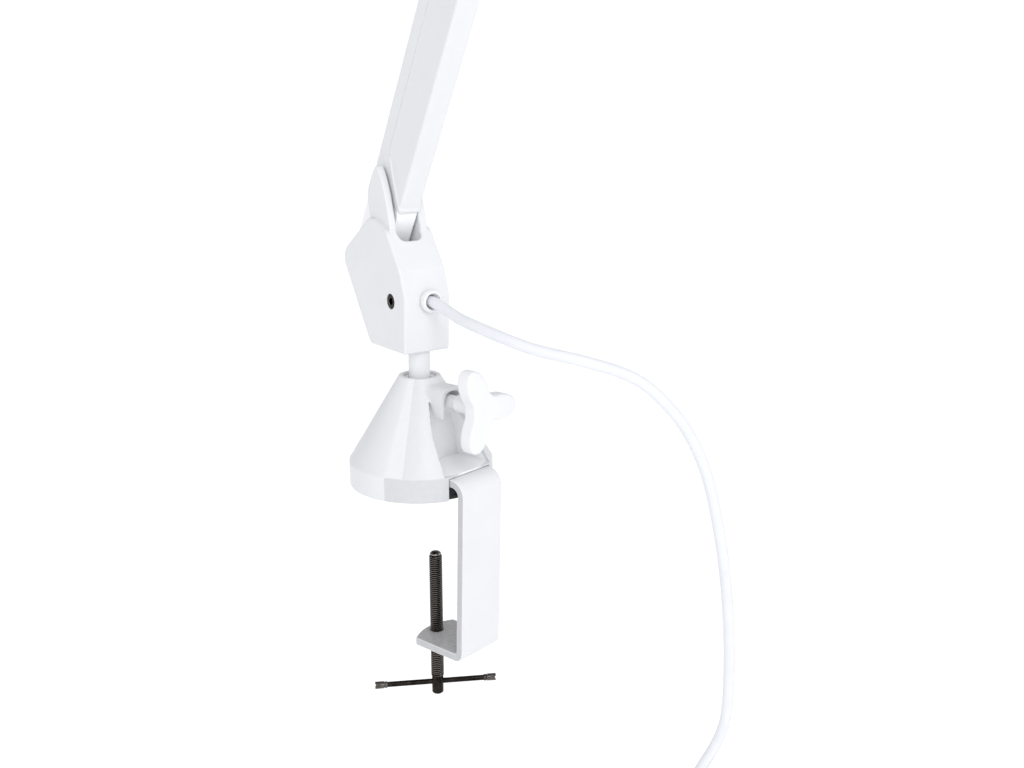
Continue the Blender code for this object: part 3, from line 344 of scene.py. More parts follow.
def foot_paint(origin, along, reach):
    """The arm's paint, with painted light brightening its foot up to `reach` from the pivot."""
    m = powder_coat("powder_coat_arm_painted_light")
    t = m.node_tree
    p = next(n for n in t.nodes if n.type == "BSDF_PRINCIPLED")
    base = p.inputs["Base Color"].links[0].from_socket
    co = t.nodes.new("ShaderNodeTexCoord")
    sub, dot = t.nodes.new("ShaderNodeVectorMath"), t.nodes.new("ShaderNodeVectorMath")
    sub.operation, dot.operation = "SUBTRACT", "DOT_PRODUCT"
    sub.inputs[1].default_value, dot.inputs[1].default_value = origin, along
    t.links.new(co.outputs["Object"], sub.inputs[0])
    t.links.new(sub.outputs[0], dot.inputs[0])
    r = t.nodes.new("ShaderNodeMapRange")
    r.inputs["From Min"].default_value, r.inputs["From Max"].default_value = reach - 0.0008, reach
    r.inputs["To Min"].default_value, r.inputs["To Max"].default_value = 1.0, 0.0
    t.links.new(dot.outputs["Value"], r.inputs[0])
    # painted light on the foot near the pivot
    light = ramp(t, noise(t, co, 300.0, 4.0), (0.93, 0.932, 0.945), (0.95, 0.952, 0.96))
    t.links.new(mixed(t, r.outputs[0], base, light), p.inputs["Base Color"])
    return m


STRAP_PAINT = strap_paint()
PLASTIC = moulded("moulded_white", (0.79, 0.796, 0.806), (0.815, 0.82, 0.828))
LEAD = pvc("lead_pvc_white")
RUBBER = rubber("rubber_black")
NICKEL = metal("black_nickel", (0.007, 0.0055, 0.0045), (0.032, 0.027, 0.023), (0.2, 0.36), wear_and_highlight=(0.36, 0.33, 0.30))
NICKEL_BRIGHT = metal("black_nickel_turned", (0.03, 0.026, 0.023), (0.13, 0.12, 0.11), (0.16, 0.3), grain=(1, 1, 6), wear_and_highlight=(0.5, 0.48, 0.46))
STEEL = metal("bright_steel", (0.5, 0.5, 0.5), (0.64, 0.64, 0.63), (0.2, 0.34), grain=(1, 1, 5))
BRASS = metal("brass", (0.55, 0.4, 0.16), (0.66, 0.5, 0.22), (0.24, 0.4))
NYLON = moulded("nylon_natural", (0.72, 0.72, 0.66), (0.8, 0.8, 0.75), (0.45, 0.6))
OPAL = opal("opal_diffuser")
BOARD = moulded("led_board_white", (0.8, 0.8, 0.76), (0.86, 0.86, 0.82), (0.3, 0.45))

FRAME_MATERIAL = {
    "base_pad": RUBBER, "cord_tie": RUBBER, "swivel_bush": NYLON, "lower_washer_near": NYLON, "lower_washer_far": NYLON,
    "elbow_washer_near": NYLON, "elbow_washer_far": NYLON, "lock_plug": BRASS, "bracket_screw_a": STEEL,
    "bracket_screw_b": STEEL, "knob_screw": PLASTIC, "lower_pivot_pin": STEEL, "plug_pin_a": STEEL, "plug_pin_b": STEEL,
    "thrust_tip": NICKEL_BRIGHT, "clamp_screw": NICKEL, "tommy_bar": NICKEL, "bar_end_a": NICKEL, "bar_end_b": NICKEL,
    "knuckle_bolt": NICKEL, "knuckle_nut": NICKEL, "diffuser": OPAL, "led_board": BOARD, "cord_run": LEAD,
    "cord_coil": LEAD, "cord_tail": LEAD, "wing_knob": PLASTIC, "cord_gland": PLASTIC, "power_button": PLASTIC,
    "plug_body": PLASTIC, "head_end_cap_inner": PLASTIC, "head_end_cap_outer": PLASTIC,
}
for _n, _o in frame["nodes"].items():
    _o.data.materials.clear()
    _o.data.materials.append(FRAME_MATERIAL.get(_n, PAINT))

BODY = {n: b for b, ns in frame["record"]["behaviour"]["bodies"].items() for n in ns}


# ---------------------------------------------------------------- pieces
def place(name, me, mat, node=None, body=None, also=()):
    o = bpy.data.objects.new(name, me)
    bpy.context.scene.collection.objects.link(o)
    if mat:
        o.data.materials.clear()
        o.data.materials.append(mat)
    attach(o, body or BODY[node])
    if node:
        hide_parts(node, *also)
    return o


def mesh_from(name, verts, faces, m, sharp=35.0):
    v = np.asarray(verts, float)
    a = np.array(m)
    v = (v @ a[:3, :3].T + a[:3, 3]) * MM
    me = bpy.data.meshes.new(name)
    me.from_pydata(v.tolist(), [], faces if isinstance(faces, list) else faces.tolist())
    me.update()
    me.shade_smooth()
    if sharp:
        me.set_sharp_from_angle(angle=rad(sharp))
    return me


# ---------------------------------------------------------------- signed distances
def outline_sd(px, py, pts):
    """Exact distance to a closed outline, negative inside."""
    d = np.full(np.broadcast(px, py).shape, 1e12)
    s = np.ones(d.shape)
    n = len(pts)
    for i in range(n):
        ax, ay = pts[i]
        bx, by = pts[i - 1]
        ex, ey = bx - ax, by - ay
        wx, wy = px - ax, py - ay
        q = ex * ex + ey * ey
        if q < 1e-12:
            continue
        t = np.clip((wx * ex + wy * ey) / q, 0, 1)
        d = np.minimum(d, (wx - ex * t) ** 2 + (wy - ey * t) ** 2)
        c1, c2, c3 = py >= ay, py < by, ex * wy > ey * wx
        s = np.where((c1 & c2 & c3) | (~c1 & ~c2 & ~c3), -s, s)
    return s * np.sqrt(d)


def both(a, b, r=0.4):
    """Intersection with an edge radius."""
    return np.minimum(-r, np.maximum(a, b)) + np.sqrt(np.maximum(r + a, 0) ** 2 + np.maximum(r + b, 0) ** 2)


def cut(a, b, r=0.4):
    return both(a, -b, r)


def join(a, b, r=0.4):
    """Union with a fillet."""
    return np.maximum(r, np.minimum(a, b)) - np.sqrt(np.maximum(r - a, 0) ** 2 + np.maximum(r - b, 0) ** 2)


def slab(x, lo, hi):
    return np.abs(x - (lo + hi) / 2) - (hi - lo) / 2


def box_sd(x, y, z, lo, hi, r=0.0):
    d = None
    for c, l, h in ((x, lo[0], hi[0]), (y, lo[1], hi[1]), (z, lo[2], hi[2])):
        q = np.abs(c - (l + h) / 2) - (h - l) / 2 + r
        out = np.maximum(q, 0) ** 2
        d = (out, q) if d is None else (d[0] + out, np.maximum(d[1], q))
    return np.sqrt(d[0]) + np.minimum(d[1], 0) - r


def tube_sd(a, b, r):
    return np.sqrt(a * a + b * b) - r


def rounded(corners, seg=8):
    """Corner list (p, q, radius) to a closed outline with tangent arcs."""
    out = []
    n = len(corners)
    for i, (x, y, r) in enumerate(corners):
        p = Vector((x, y))
        a = Vector(corners[i - 1][:2]) - p
        b = Vector(corners[(i + 1) % n][:2]) - p
        la, lb = a.length, b.length
        a.normalize()
        b.normalize()
        ang = math.acos(max(-1, min(1, a.dot(b))))
        if r <= 0 or ang > math.pi - 1e-3:
            out.append((p.x, p.y))
            continue
        d = min(r / math.tan(ang / 2), 0.48 * la, 0.48 * lb)
        rr = d * math.tan(ang / 2)
        c = p + (a + b).normalized() * (rr / math.sin(ang / 2))
        s, e = p + a * d - c, p + b * d - c
        s_a, e_a = math.atan2(s.y, s.x), math.atan2(e.y, e.x)
        turn = (e_a - s_a + math.pi) % (2 * math.pi) - math.pi
        k = max(1, round(seg * abs(turn) / (math.pi / 2)))
        for j in range(k + 1):
            t = s_a + turn * j / k
            out.append((c.x + rr * math.cos(t), c.y + rr * math.sin(t)))
    return out


def steps(lo, hi, h, coarse=()):
    """Grid positions from lo to hi, h apart, and wider inside the coarse stretches (from, to, spacing)."""
    out, x = [], lo
    while x < hi + h:
        out.append(x)
        g = h
        for a, b, w in coarse:
            if a <= x and x + w <= b:
                g = w
        x += g
    return np.array(out)


def skin(name, f, xs, ys, zs, m=ONE, keep=0.5):
    """Mesh of f = 0: one vertex in each grid cell that the surface crosses, moved onto it, with exact normals."""
    F = np.asarray(f(xs[:, None, None], ys[None, :, None], zs[None, None, :]) + np.zeros((len(xs), len(ys), len(zs))))
    s = F < 0
    c = np.zeros([k - 1 for k in F.shape], np.int8)
    n0, n1, n2 = c.shape
    for i in (0, 1):
        for j in (0, 1):
            for k in (0, 1):
                c += s[i:n0 + i, j:n1 + j, k:n2 + k]
    live = (c > 0) & (c < 8)
    idx = np.full(c.shape, -1, np.int64)
    idx[live] = np.arange(live.sum())
    ci, cj, ck = np.nonzero(live)
    acc, cnt = np.zeros((len(ci), 3)), np.zeros(len(ci))
    corner = [(i, j, k) for i in (0, 1) for j in (0, 1) for k in (0, 1)]
    for a in corner:
        for b in corner:
            if a < b and sum(abs(p - q) for p, q in zip(a, b)) == 1:
                fa, fb = F[ci + a[0], cj + a[1], ck + a[2]], F[ci + b[0], cj + b[1], ck + b[2]]
                on = (fa < 0) != (fb < 0)
                t = fa[on] / (fa[on] - fb[on])
                acc[on] += np.array(a) + t[:, None] * (np.array(b) - np.array(a))
                cnt[on] += 1
    acc /= cnt[:, None]
    v = np.stack([g[q] + w * (g[q + 1] - g[q]) for g, q, w in zip((xs, ys, zs), (ci, cj, ck), acc.T)], 1)
    quads = []
    for axis in range(3):
        o1, o2 = (axis + 1) % 3, (axis + 2) % 3
        a = s.take(range(0, s.shape[axis] - 1), axis)
        b = s.take(range(1, s.shape[axis]), axis)
        p = np.stack(np.nonzero(a != b), 1)
        ok = (p[:, o1] >= 1) & (p[:, o2] >= 1) & (p[:, o1] <= c.shape[o1] - 1) & (p[:, o2] <= c.shape[o2] - 1)
        p = p[ok]
        inside = a[p[:, 0], p[:, 1], p[:, 2]]
        ring = []
        for d1, d2 in ((-1, -1), (0, -1), (0, 0), (-1, 0)):
            q = p.copy()
            q[:, o1] += d1
            q[:, o2] += d2
            ring.append(idx[q[:, 0], q[:, 1], q[:, 2]])
        ring = np.stack(ring, 1)
        quads.append(np.where(inside[:, None], ring, ring[:, ::-1]))
    quads = np.concatenate(quads)

    def grad(v, e=0.02):
        g = np.stack([f(v[:, 0] + e * (k == 0), v[:, 1] + e * (k == 1), v[:, 2] + e * (k == 2)) -
                      f(v[:, 0] - e * (k == 0), v[:, 1] - e * (k == 1), v[:, 2] - e * (k == 2)) for k in range(3)], 1) / (2 * e)
        return g

    for _ in range(2):
        g = grad(v)
        g /= np.maximum((g * g).sum(1), 0.25)[:, None]
        step = np.clip(f(v[:, 0], v[:, 1], v[:, 2]), -0.35, 0.35)[:, None] * g
        v = v - step
    me = bpy.data.meshes.new(name)
    me.from_pydata(v.tolist(), [], quads.tolist())
    me.update()
    if keep < 1.0:
        o = bpy.data.objects.new(name + "_raw", me)
        bpy.context.scene.collection.objects.link(o)
        d = o.modifiers.new("thin", "DECIMATE")
        d.ratio = keep
        dg = bpy.context.evaluated_depsgraph_get()
        thin = bpy.data.meshes.new_from_object(o.evaluated_get(dg))
        bpy.data.objects.remove(o, do_unlink=True)
        me = thin
        me.name = name
    n = len(me.vertices)
    v = np.empty(n * 3)
    me.vertices.foreach_get("co", v)
    v = v.reshape(n, 3)
    g = grad(v, 0.05)
    ln = np.linalg.norm(g, axis=1)
    a = np.array(m)
    g = (g / np.maximum(ln, 1e-6)[:, None]) @ a[:3, :3].T
    w = (v @ a[:3, :3].T + a[:3, 3]) * MM
    me.vertices.foreach_set("co", w.ravel())
    me.shade_smooth()
    me.update()
    me.normals_split_custom_set_from_vertices(g.tolist())
    return me


def mirrored(me):
    return me


# ---------------------------------------------------------------- turned pieces and threads
def turned(name, profile, m=ONE, seg=64, axis="Z", at=(0, 0, 0), closed=False, sharp=35.0):
    put = {"Z": lambda r, c, s, h: (r * c, r * s, h), "Y": lambda r, c, s, h: (r * s, h, r * c),
           "X": lambda r, c, s, h: (h, r * c, r * s)}[axis]
    verts, rings = [], []
    for r, h in profile:
        row = []
        for i in range(1 if r < 1e-6 else seg):
            a = 2 * math.pi * i / seg
            row.append(len(verts))
            p = put(r, math.cos(a), math.sin(a), h)
            verts.append((p[0] + at[0], p[1] + at[1], p[2] + at[2]))
        rings.append(row)
    faces = []
    pairs = list(zip(rings, rings[1:])) + ([(rings[-1], rings[0])] if closed else [])
    for a, b in pairs:
        for i in range(seg):
            j = (i + 1) % seg
            if len(a) == 1 and len(b) == 1:
                break
            if len(a) == 1:
                faces.append((a[0], b[j], b[i]))
            elif len(b) == 1:
                faces.append((a[i], a[j], b[0]))
            else:
                faces.append((a[i], a[j], b[j], b[i]))
    return mesh_from(name, verts, faces, m, sharp)


def soft_profile(points, r=0.25, n=3):
    """(radius, height) profile with its inner corners rounded."""
    out = [points[0]]
    for a, b, c in zip(points, points[1:], points[2:]):
        p, q, s = Vector(a), Vector(b), Vector(c)
        u, w = p - q, s - q
        d = min(r, 0.45 * u.length, 0.45 * w.length)
        u.normalize()
        w.normalize()
        s0, s1 = q + u * d, q + w * d
        for i in range(n + 1):
            t = i / n
            out.append(tuple(s0 * (1 - t) ** 2 + q * 2 * t * (1 - t) + s1 * t ** 2))
    out.append(points[-1])
    return out


def thread(name, r, pitch, lo, hi, m, seg=40, ends=(0.9, 0.9), axis="Z", at=(0, 0, 0), depth=0.72):
    """Right-hand outside thread between lo and hi, run out at both ends, closed by flat ends."""
    rows = 6
    shape = [r - depth, r - depth * 0.5, r - 0.03, r - 0.03, r - depth * 0.5, r - depth]
    put = {"Z": lambda x, y, z: (x, y, z), "X": lambda x, y, z: (z, x, y)}[axis]
    k0, k1 = -2 * rows, int((hi - lo) / pitch * rows) + 2 * rows
    verts = []
    for k in range(k0, k1):
        for i in range(seg):
            a = 2 * math.pi * i / seg
            z = lo + pitch * (k / rows + i / seg)
            zc = min(max(z, lo), hi)
            rr = min(shape[k % rows], r - 0.03 - max(0.0, ends[0] - (zc - lo)) * 0.9, r - 0.03 - max(0.0, ends[1] - (hi - zc)) * 0.9)
            p = put(rr * math.cos(a), rr * math.sin(a), zc)
            verts.append((p[0] + at[0], p[1] + at[1], p[2] + at[2]))
    faces = []
    n = k1 - k0
    for k in range(n - 1):
        for i in range(seg):
            if i < seg - 1:
                a, b, c, d = k * seg + i, k * seg + i + 1, (k + 1) * seg + i + 1, (k + 1) * seg + i
            else:
                if k + rows + 1 > n - 1:
                    continue
                a, b, c, d = k * seg + i, (k + rows) * seg, (k + rows + 1) * seg, (k + 1) * seg + i
            faces.append((a, b, c, d))
    me = mesh_from(name, verts, faces, m, None)
    bm = bmesh.new()
    bm.from_mesh(me)
    bmesh.ops.remove_doubles(bm, verts=bm.verts, dist=2e-6)
    bmesh.ops.dissolve_degenerate(bm, dist=1e-6, edges=bm.edges)
    loose = [v for v in bm.verts if not v.link_faces]
    bmesh.ops.delete(bm, geom=loose, context="VERTS")
    edges = [e for e in bm.edges if e.is_boundary]
    bmesh.ops.holes_fill(bm, edges=edges, sides=0)
    bmesh.ops.recalc_face_normals(bm, faces=bm.faces)
    bm.to_mesh(me)
    bm.free()
    me.shade_smooth()
    me.set_sharp_from_angle(angle=rad(50))
    return me


# ---------------------------------------------------------------- mains lead
CORD_D = 6.4
GLAND_Y, GLAND_Z = 1.5, 110.8
COIL_R, COIL_C = 36.0, Vector((178.0, 73.0, -212.0))
ROUTE = [
    (11.4, -1.28, 110.8), (16.5, -2.5, 110.3), (27.2, -5.2, 108.2), (39.4, -8.1, 105.4), (51.3, -10.2, 103.6), (61.8, -11.0, 101.9),
    (71.7, -10.5, 99.8), (81.4, -8.8, 97.4), (89.6, -6.2, 95.2), (97.5, -2.6, 93.4), (103.5, 0.9, 92.1), (109.6, 5.1, 90.6),
    (118.9, 13.0, 87.3), (126.3, 20.2, 84.0), (133.8, 27.7, 79.2), (139.6, 33.5, 73.4), (145.8, 39.6, 64.9), (151.9, 45.8, 54.5),
    (157.6, 51.4, 41.0), (162.6, 56.4, 24.0), (166.8, 60.6, 2.0), (170.5, 64.3, -24.0), (173.4, 67.2, -54.0), (175.2, 69.0, -87.0),
    (175.2, 69.0, -121.0), (172.7, 66.7, -147.0),
]


def smooth(points, step):
    """Even points on a Catmull-Rom curve through the given points."""
    p = [Vector(q) for q in points]
    p = [p[0] * 2 - p[1]] + p + [p[-1] * 2 - p[-2]]
    fine = []
    for i in range(1, len(p) - 2):
        for j in range(16):
            t = j / 16
            a, b, c, d = p[i - 1], p[i], p[i + 1], p[i + 2]
            fine.append(0.5 * (2 * b + (c - a) * t + (2 * a - 5 * b + 4 * c - d) * t * t + (3 * b - a - 3 * c + d) * t ** 3))
    fine.append(p[-2])
    acc = [0.0]
    for a, b in zip(fine, fine[1:]):
        acc.append(acc[-1] + (b - a).length)
    n = max(2, round(acc[-1] / step))
    out, j = [], 0
    for i in range(n + 1):
        s = acc[-1] * i / n
        while j < len(acc) - 2 and acc[j + 1] < s:
            j += 1
        f = (s - acc[j]) / (acc[j + 1] - acc[j])
        out.append(fine[j].lerp(fine[j + 1], min(max(f, 0), 1)))
    return out


def lead_line():
    h = Vector((math.cos(rad(48)), math.sin(rad(48)), 0))
    side = Vector((-h.y, h.x, 0))
    up = Vector((0, 0, 1))

    def on_ring(a, dr=0.0, ds=0.0):
        return COIL_C + (h * math.cos(a) + up * math.sin(a)) * (COIL_R + dr) + side * ds

    a_in, a_out = rad(152), rad(205) + 2 * math.pi * 6
    # the turns lie round the bundle's middle, each a diameter from its neighbours
    rb, n = CORD_D * 0.99, 30
    turns = []
    total = a_out - a_in
    for i in range(int(total / (2 * math.pi) * n) + 1):
        a = a_in + total * i / int(total / (2 * math.pi) * n)
        q = (a - a_in) / (2 * math.pi) * rad(60)
        # the last turn dives into the bundle's middle
        f = min(1, max(0, (a - (a_out - rad(150))) / rad(110)))
        w = rb * (1 - f * f * (3 - 2 * f))
        turns.append(on_ring(a, w * math.cos(q), w * math.sin(q)))
    back = h * math.sin(a_in) - up * math.cos(a_in)
    lead_in = [turns[0] + back * d for d in (60.0, 41.0, 20.0)]
    on = -h * math.sin(rad(205)) + up * math.cos(rad(205))
    s0 = on_ring(rad(205)) + on * 35.5
    last = turns[-1]
    tail = [last + (s0 - last) * 0.4, s0, s0 + on * 5.5, s0 + on * 9.5 + Vector((0, 0, -2.5)), s0 + on * 12 + Vector((0, 0, -8.0)), s0 + on * 13 + Vector((0, 0, -16.0))]
    route = [Vector(p) for p in ROUTE]
    pts = smooth(route[:-1] + lead_in + turns + tail, 5.0)
    return pts


def make_lead():
    pts = lead_line()
    cu = bpy.data.curves.new("mains_lead", "CURVE")
    cu.dimensions = "3D"
    cu.bevel_depth = CORD_D / 2 * MM
    cu.bevel_resolution = 4
    cu.use_fill_caps = True
    sp = cu.splines.new("POLY")
    sp.points.add(len(pts) - 1)
    for q, p in zip(sp.points, pts):
        q.co = (*(p * MM), 1)
    o = place("mains_lead", cu, LEAD, "cord_run", also=("cord_coil", "cord_tail"))
    length = sum((b - a).length for a, b in zip(pts, pts[1:])) * MM
    return o, length


def make_gland():
    """Collar in the back of the knuckle that the lead comes out of, with a flared mouth."""
    prof = [(3.3, 1.0), (5.0, 1.0), (5.0, 10.9), (6.5, 10.9), (6.5, 13.5), (6.25, 14.1), (5.8, 14.5), (5.2, 14.65), (4.8, 14.45), (4.62, 14.0), (4.5, 12.6), (3.6, 11.4), (3.3, 9.0)]
    me = turned("lead_collar", prof, K, 72, "X", (0, GLAND_Y, GLAND_Z), closed=True, sharp=50)
    return place("lead_collar", me, PLASTIC, "cord_gland")


def make_plug():
    """Slim two-pin plug with a ribbed neck, along the end of the lead."""
    pts = lead_line()
    d = (pts[-1] - pts[-2]).normalized()
    lo, hi = (Vector(c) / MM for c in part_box("plug_body"))
    pin_lo, pin_hi = (Vector(c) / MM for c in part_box("plug_pin_a"))
    at = pts[-1] + d * 0.3
    x = Vector((0, 1, 0)).cross(d).normalized()
    # the pins' plane, from the frame's own pins
    ca = (Vector(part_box("plug_pin_a")[0]) + Vector(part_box("plug_pin_a")[1])) / 2
    cb = (Vector(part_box("plug_pin_b")[0]) + Vector(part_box("plug_pin_b")[1])) / 2
    y = (cb - ca).normalized()
    x = y.cross(d).normalized()
    keys = [(0, 4.3, 4.3), (1, 4.6, 4.6), (9, 5.0, 5.0), (10.5, 5.2, 5.1), (16, 8.0, 6.2), (24, 11.5, 6.9), (32, 12.2, 7.0), (40, 12.6, 7.0), (44, 15.2, 7.0), (47, 17.0, 7.0), (48.9, 17.2, 7.0), (49.5, 16.6, 6.4)]
    ss = [0, 0.5, 1]
    for i in range(1, 9):
        ss += [i + 0.0, i + 0.25, i + 0.5, i + 0.75]
    ss += list(np.linspace(9, 48.9, 34)) + [49.2, 49.5]
    rows, verts = [], []
    for s in ss:
        hw = float(np.interp(s, [k[0] for k in keys], [k[1] for k in keys]))
        ht = float(np.interp(s, [k[0] for k in keys], [k[2] for k in keys]))
        if 1 < s < 9:
            groove = 0.45 * (0.5 - 0.5 * math.cos(2 * math.pi * (s % 2) / 2))
            hw, ht = hw - groove, ht - groove
        row = []
        for i in range(48):
            q = 2 * math.pi * i / 48
            cx, cy = math.cos(q), math.sin(q)
            row.append(len(verts))
            verts.append(tuple(at + d * s + y * (hw * math.copysign(abs(cx) ** 0.75, cx)) + x * (ht * math.copysign(abs(cy) ** 0.75, cy))))
        rows.append(row)
    faces = [tuple(rows[0][::-1]), tuple(rows[-1])]
    for a, b in zip(rows, rows[1:]):
        for i in range(48):
            j = (i + 1) % 48
            faces.append((a[i], a[j], b[j], b[i]))
    me = mesh_from("plug_shell", verts, faces, ONE, 40)
    bm = bmesh.new()
    bm.from_mesh(me)
    bmesh.ops.recalc_face_normals(bm, faces=bm.faces)
    bm.to_mesh(me)
    bm.free()
    return place("plug_shell", me, PLASTIC, "plug_body")


GLAND = make_gland()
PLUG = make_plug()
LEAD_OBJ, LEAD_LENGTH = make_lead()


# ---------------------------------------------------------------- base
BASE_R, SKIRT_Z, CONE_TOP_Z, CONE_TOP_R = 42.7, 14.8, 65.6, 12.2
KNOB_Z, HOOD_FACE_X = 53.5, 26.5
STRAP_HALF_W, ARM_TOP_Z = 16.6, 13.3
SLOPE = (BASE_R - CONE_TOP_R) / (CONE_TOP_Z - SKIRT_Z)


def inset(pts, d):
    """Convex outline moved inwards by d."""
    out = []
    n = len(pts)
    area = sum(pts[i - 1][0] * pts[i][1] - pts[i][0] * pts[i - 1][1] for i in range(n))
    sgn = 1 if area > 0 else -1
    for i in range(n):
        p, a, b = Vector(pts[i]), Vector(pts[i - 1]), Vector(pts[(i + 1) % n])
        u, w = (p - a).normalized(), (b - p).normalized()
        n1, n2 = Vector((-u.y, u.x)) * sgn, Vector((-w.y, w.x)) * sgn
        bi = (n1 + n2) / max(1e-6, 1 + n1.dot(n2))
        out.append(tuple(p + bi * d))
    return out


BASE_PROFILE = inset([(-60, 0.5), (BASE_R, 0.5), (BASE_R, SKIRT_Z), (CONE_TOP_R, CONE_TOP_Z), (-60, CONE_TOP_Z)], 0.7)
RECESS = rounded([(-19.2, SKIRT_Z + 0.05, 0), (19.2, SKIRT_Z + 0.05, 0), (15.6, 36.0, 30), (8.2, 57.0, 5), (-8.2, 57.0, 5), (-15.6, 36.0, 30)], 8)
HOOD = rounded([(-9.0, 44.0, 0.6), (-8.8, 52.5, 0), (-8.8, 62.3, 8.6), (8.8, 62.3, 8.6), (8.8, 52.5, 0), (9.0, 44.0, 0.6),
                (7.4, 45.5, 0), (6.6, 50, 0), (6.4, 59.9, 6.2), (-6.4, 59.9, 6.2), (-6.6, 50, 0), (-7.4, 45.5, 0)], 8)


def base_sd(x, y, z):
    r = np.sqrt(x * x + y * y)
    d = outline_sd(r, z, BASE_PROFILE) - 0.7
    k = math.cos(rad(7.5))
    for sgn in (-1, 1):
        a = rad(67.5) * sgn
        plane = (x * math.cos(a) + y * math.sin(a) - (BASE_R - (z - SKIRT_Z) * SLOPE) * k) / math.sqrt(1 + (SLOPE * k) ** 2)
        d = cut(d, np.maximum(-plane, SKIRT_Z - z), 0.25)
    d = cut(d, np.maximum(outline_sd(y, z, RECESS), 11.5 - x), 0.45)
    hood = both(outline_sd(y, z, HOOD), np.maximum(x - HOOD_FACE_X, 8.0 - x), 0.35)
    d = join(d, hood, 1.2)
    d = np.minimum(d, np.maximum(tube_sd(y, z - KNOB_Z, 7.4), slab(x, 9.0, 18.0)))
    d = cut(d, box_sd(x, y, z, (39.2, -17.1, -9), (60, 17.1, 30)), 0.35)
    d = cut(d, box_sd(x, y, z, (-14.4, -17.0, -9), (50, 17.0, ARM_TOP_Z + 0.3)), 0.3)
    d = cut(d, np.maximum(r - 39.0, z - 2.5), 0.2)
    d = cut(d, np.maximum(r - 6.9, np.maximum(19 - z, z - 70)), 0.2)
    d = cut(d, np.maximum(r - 9.75, 57.4 - z), 0.35)
    return cut(d, np.maximum(tube_sd(y, z - KNOB_Z, 4.35), slab(x, 3, 40)), 0.2)


H = 0.6
place("base_shell", skin("base_shell", base_sd, steps(-44, 44, H), steps(-44, 44, H), steps(-0.6, 67, H), keep=0.45), base_paint(), "base_cone")

# post with a small chamfer at its top, out of the base into the knuckle
place("post_tube", turned("post_tube", soft_profile([(0, 20), (5.7, 20), (6.3, 20.6), (6.3, 98.4), (5.7, 99.0), (0, 99.0)], 0.3), seg=96), PAINT, "post")


# ---------------------------------------------------------------- clamp strap
STRAP_T, STRAP_X_TOP, STRAP_X_BOT, ARM_BOT_Z = 4.7, 49.3, 47.0, -99.6
SCREW_X = 10.4
_sl = (STRAP_X_TOP - STRAP_X_BOT) / 90.0
_xt, _xb = STRAP_X_TOP + _sl * ARM_TOP_Z, STRAP_X_TOP + _sl * ARM_BOT_Z
STRAP = rounded([(-13.8, ARM_TOP_Z, 0), (_xt, ARM_TOP_Z, 9.5), (_xb, ARM_BOT_Z, 6.2), (-3.0, ARM_BOT_Z, 0), (-3.0, ARM_BOT_Z + STRAP_T, 0),
                 (_xb - STRAP_T, ARM_BOT_Z + STRAP_T, 1.8), (_xt - STRAP_T, ARM_TOP_Z - STRAP_T, 4.8), (-13.8, ARM_TOP_Z - STRAP_T, 0)], 8)


def strap_sd(x, y, z):
    d = both(outline_sd(x, z, STRAP), np.abs(y) - STRAP_HALF_W, 0.75)
    end = (3.5 + 5.2 * (y / STRAP_HALF_W) ** 2 - x) * 0.9
    d = both(d, np.where(z < -60, end, -50.0), 0.75)
    for s in (-1, 1):
        d = cut(d, np.maximum(tube_sd(x + 5.0, y + s * 10.5, 2.8), -z), 0.2)
    return cut(d, np.maximum(tube_sd(x - SCREW_X, y, 4.12), z + 50), 0.35)


H = 0.55
place("clamp_strap", skin("clamp_strap", strap_sd, steps(-15, 50.6, H), steps(-17.4, 17.4, H), steps(-100.6, 14.4, H, [(-90, -2, 2.2)]), keep=0.6), STRAP_PAINT, "clamp_bracket")


# ---------------------------------------------------------------- clamp screw
SC = Matrix.Translation((SCREW_X, 0, 0))
place("clamp_thread", thread("clamp_thread", 4.0, 1.25, -137.9 + 12.6, -45.4, SC, ends=(0.9, 0.7)), NICKEL, "clamp_screw")
_collar = soft_profile([(0, -137.9), (2.9, -137.9), (3.6, -137.1), (3.6, -126.0), (3.9, -125.5), (3.9, -125.1), (3.2, -124.9), (0, -124.9)], 0.18)


def collar_sd(x, y, z):
    r = np.sqrt(x * x + y * y)
    d = outline_sd(r, z, inset([(-9, -137.9), (3.0, -137.9), (3.6, -137.2), (3.6, -125.2), (-9, -125.2)], 0.15)) - 0.15
    d = np.minimum(d, outline_sd(r, z, [(-9, -126.1), (3.95, -125.7), (3.95, -125.0), (-9, -124.9)]))
    a = rad(48.7)
    u, w = x * math.cos(a) + y * math.sin(a), -x * math.sin(a) + y * math.cos(a)
    return cut(d, tube_sd(w, z + 130.4, 1.8), 0.25)


H = 0.2
place("screw_collar", skin("screw_collar", collar_sd, steps(-4.4, 4.4, H), steps(-4.4, 4.4, H), steps(-138.4, -124.4, H), SC, keep=0.5), NICKEL, body="clamp_screw")
place("screw_dome", turned("screw_dome", [(0, -45.1), (3.3, -45.1), (3.45, -44.8), (3.3, -44.35), (2.9, -43.85), (2.3, -43.5), (1.4, -43.28), (0.6, -43.21), (0, -43.2)], SC, 48, sharp=60), NICKEL_BRIGHT, "thrust_tip")

# cross bar with a pressed sleeve at each end; the ends are flattened and notched
BAR = SC @ Matrix.Translation((0, 0, -130.4)) @ Matrix.Rotation(rad(48.7), 4, "Z") @ Matrix.Translation((-1.2, 0, 0))
HALF = 75.5 / 2
place("cross_bar", turned("cross_bar", soft_profile([(0, -HALF + 3.6), (1.6, -HALF + 3.6), (1.65, -HALF + 4.0), (1.65, HALF - 4.0), (1.6, HALF - 3.6), (0, HALF - 3.6)], 0.1), BAR, 40, "X"), NICKEL, "tommy_bar")


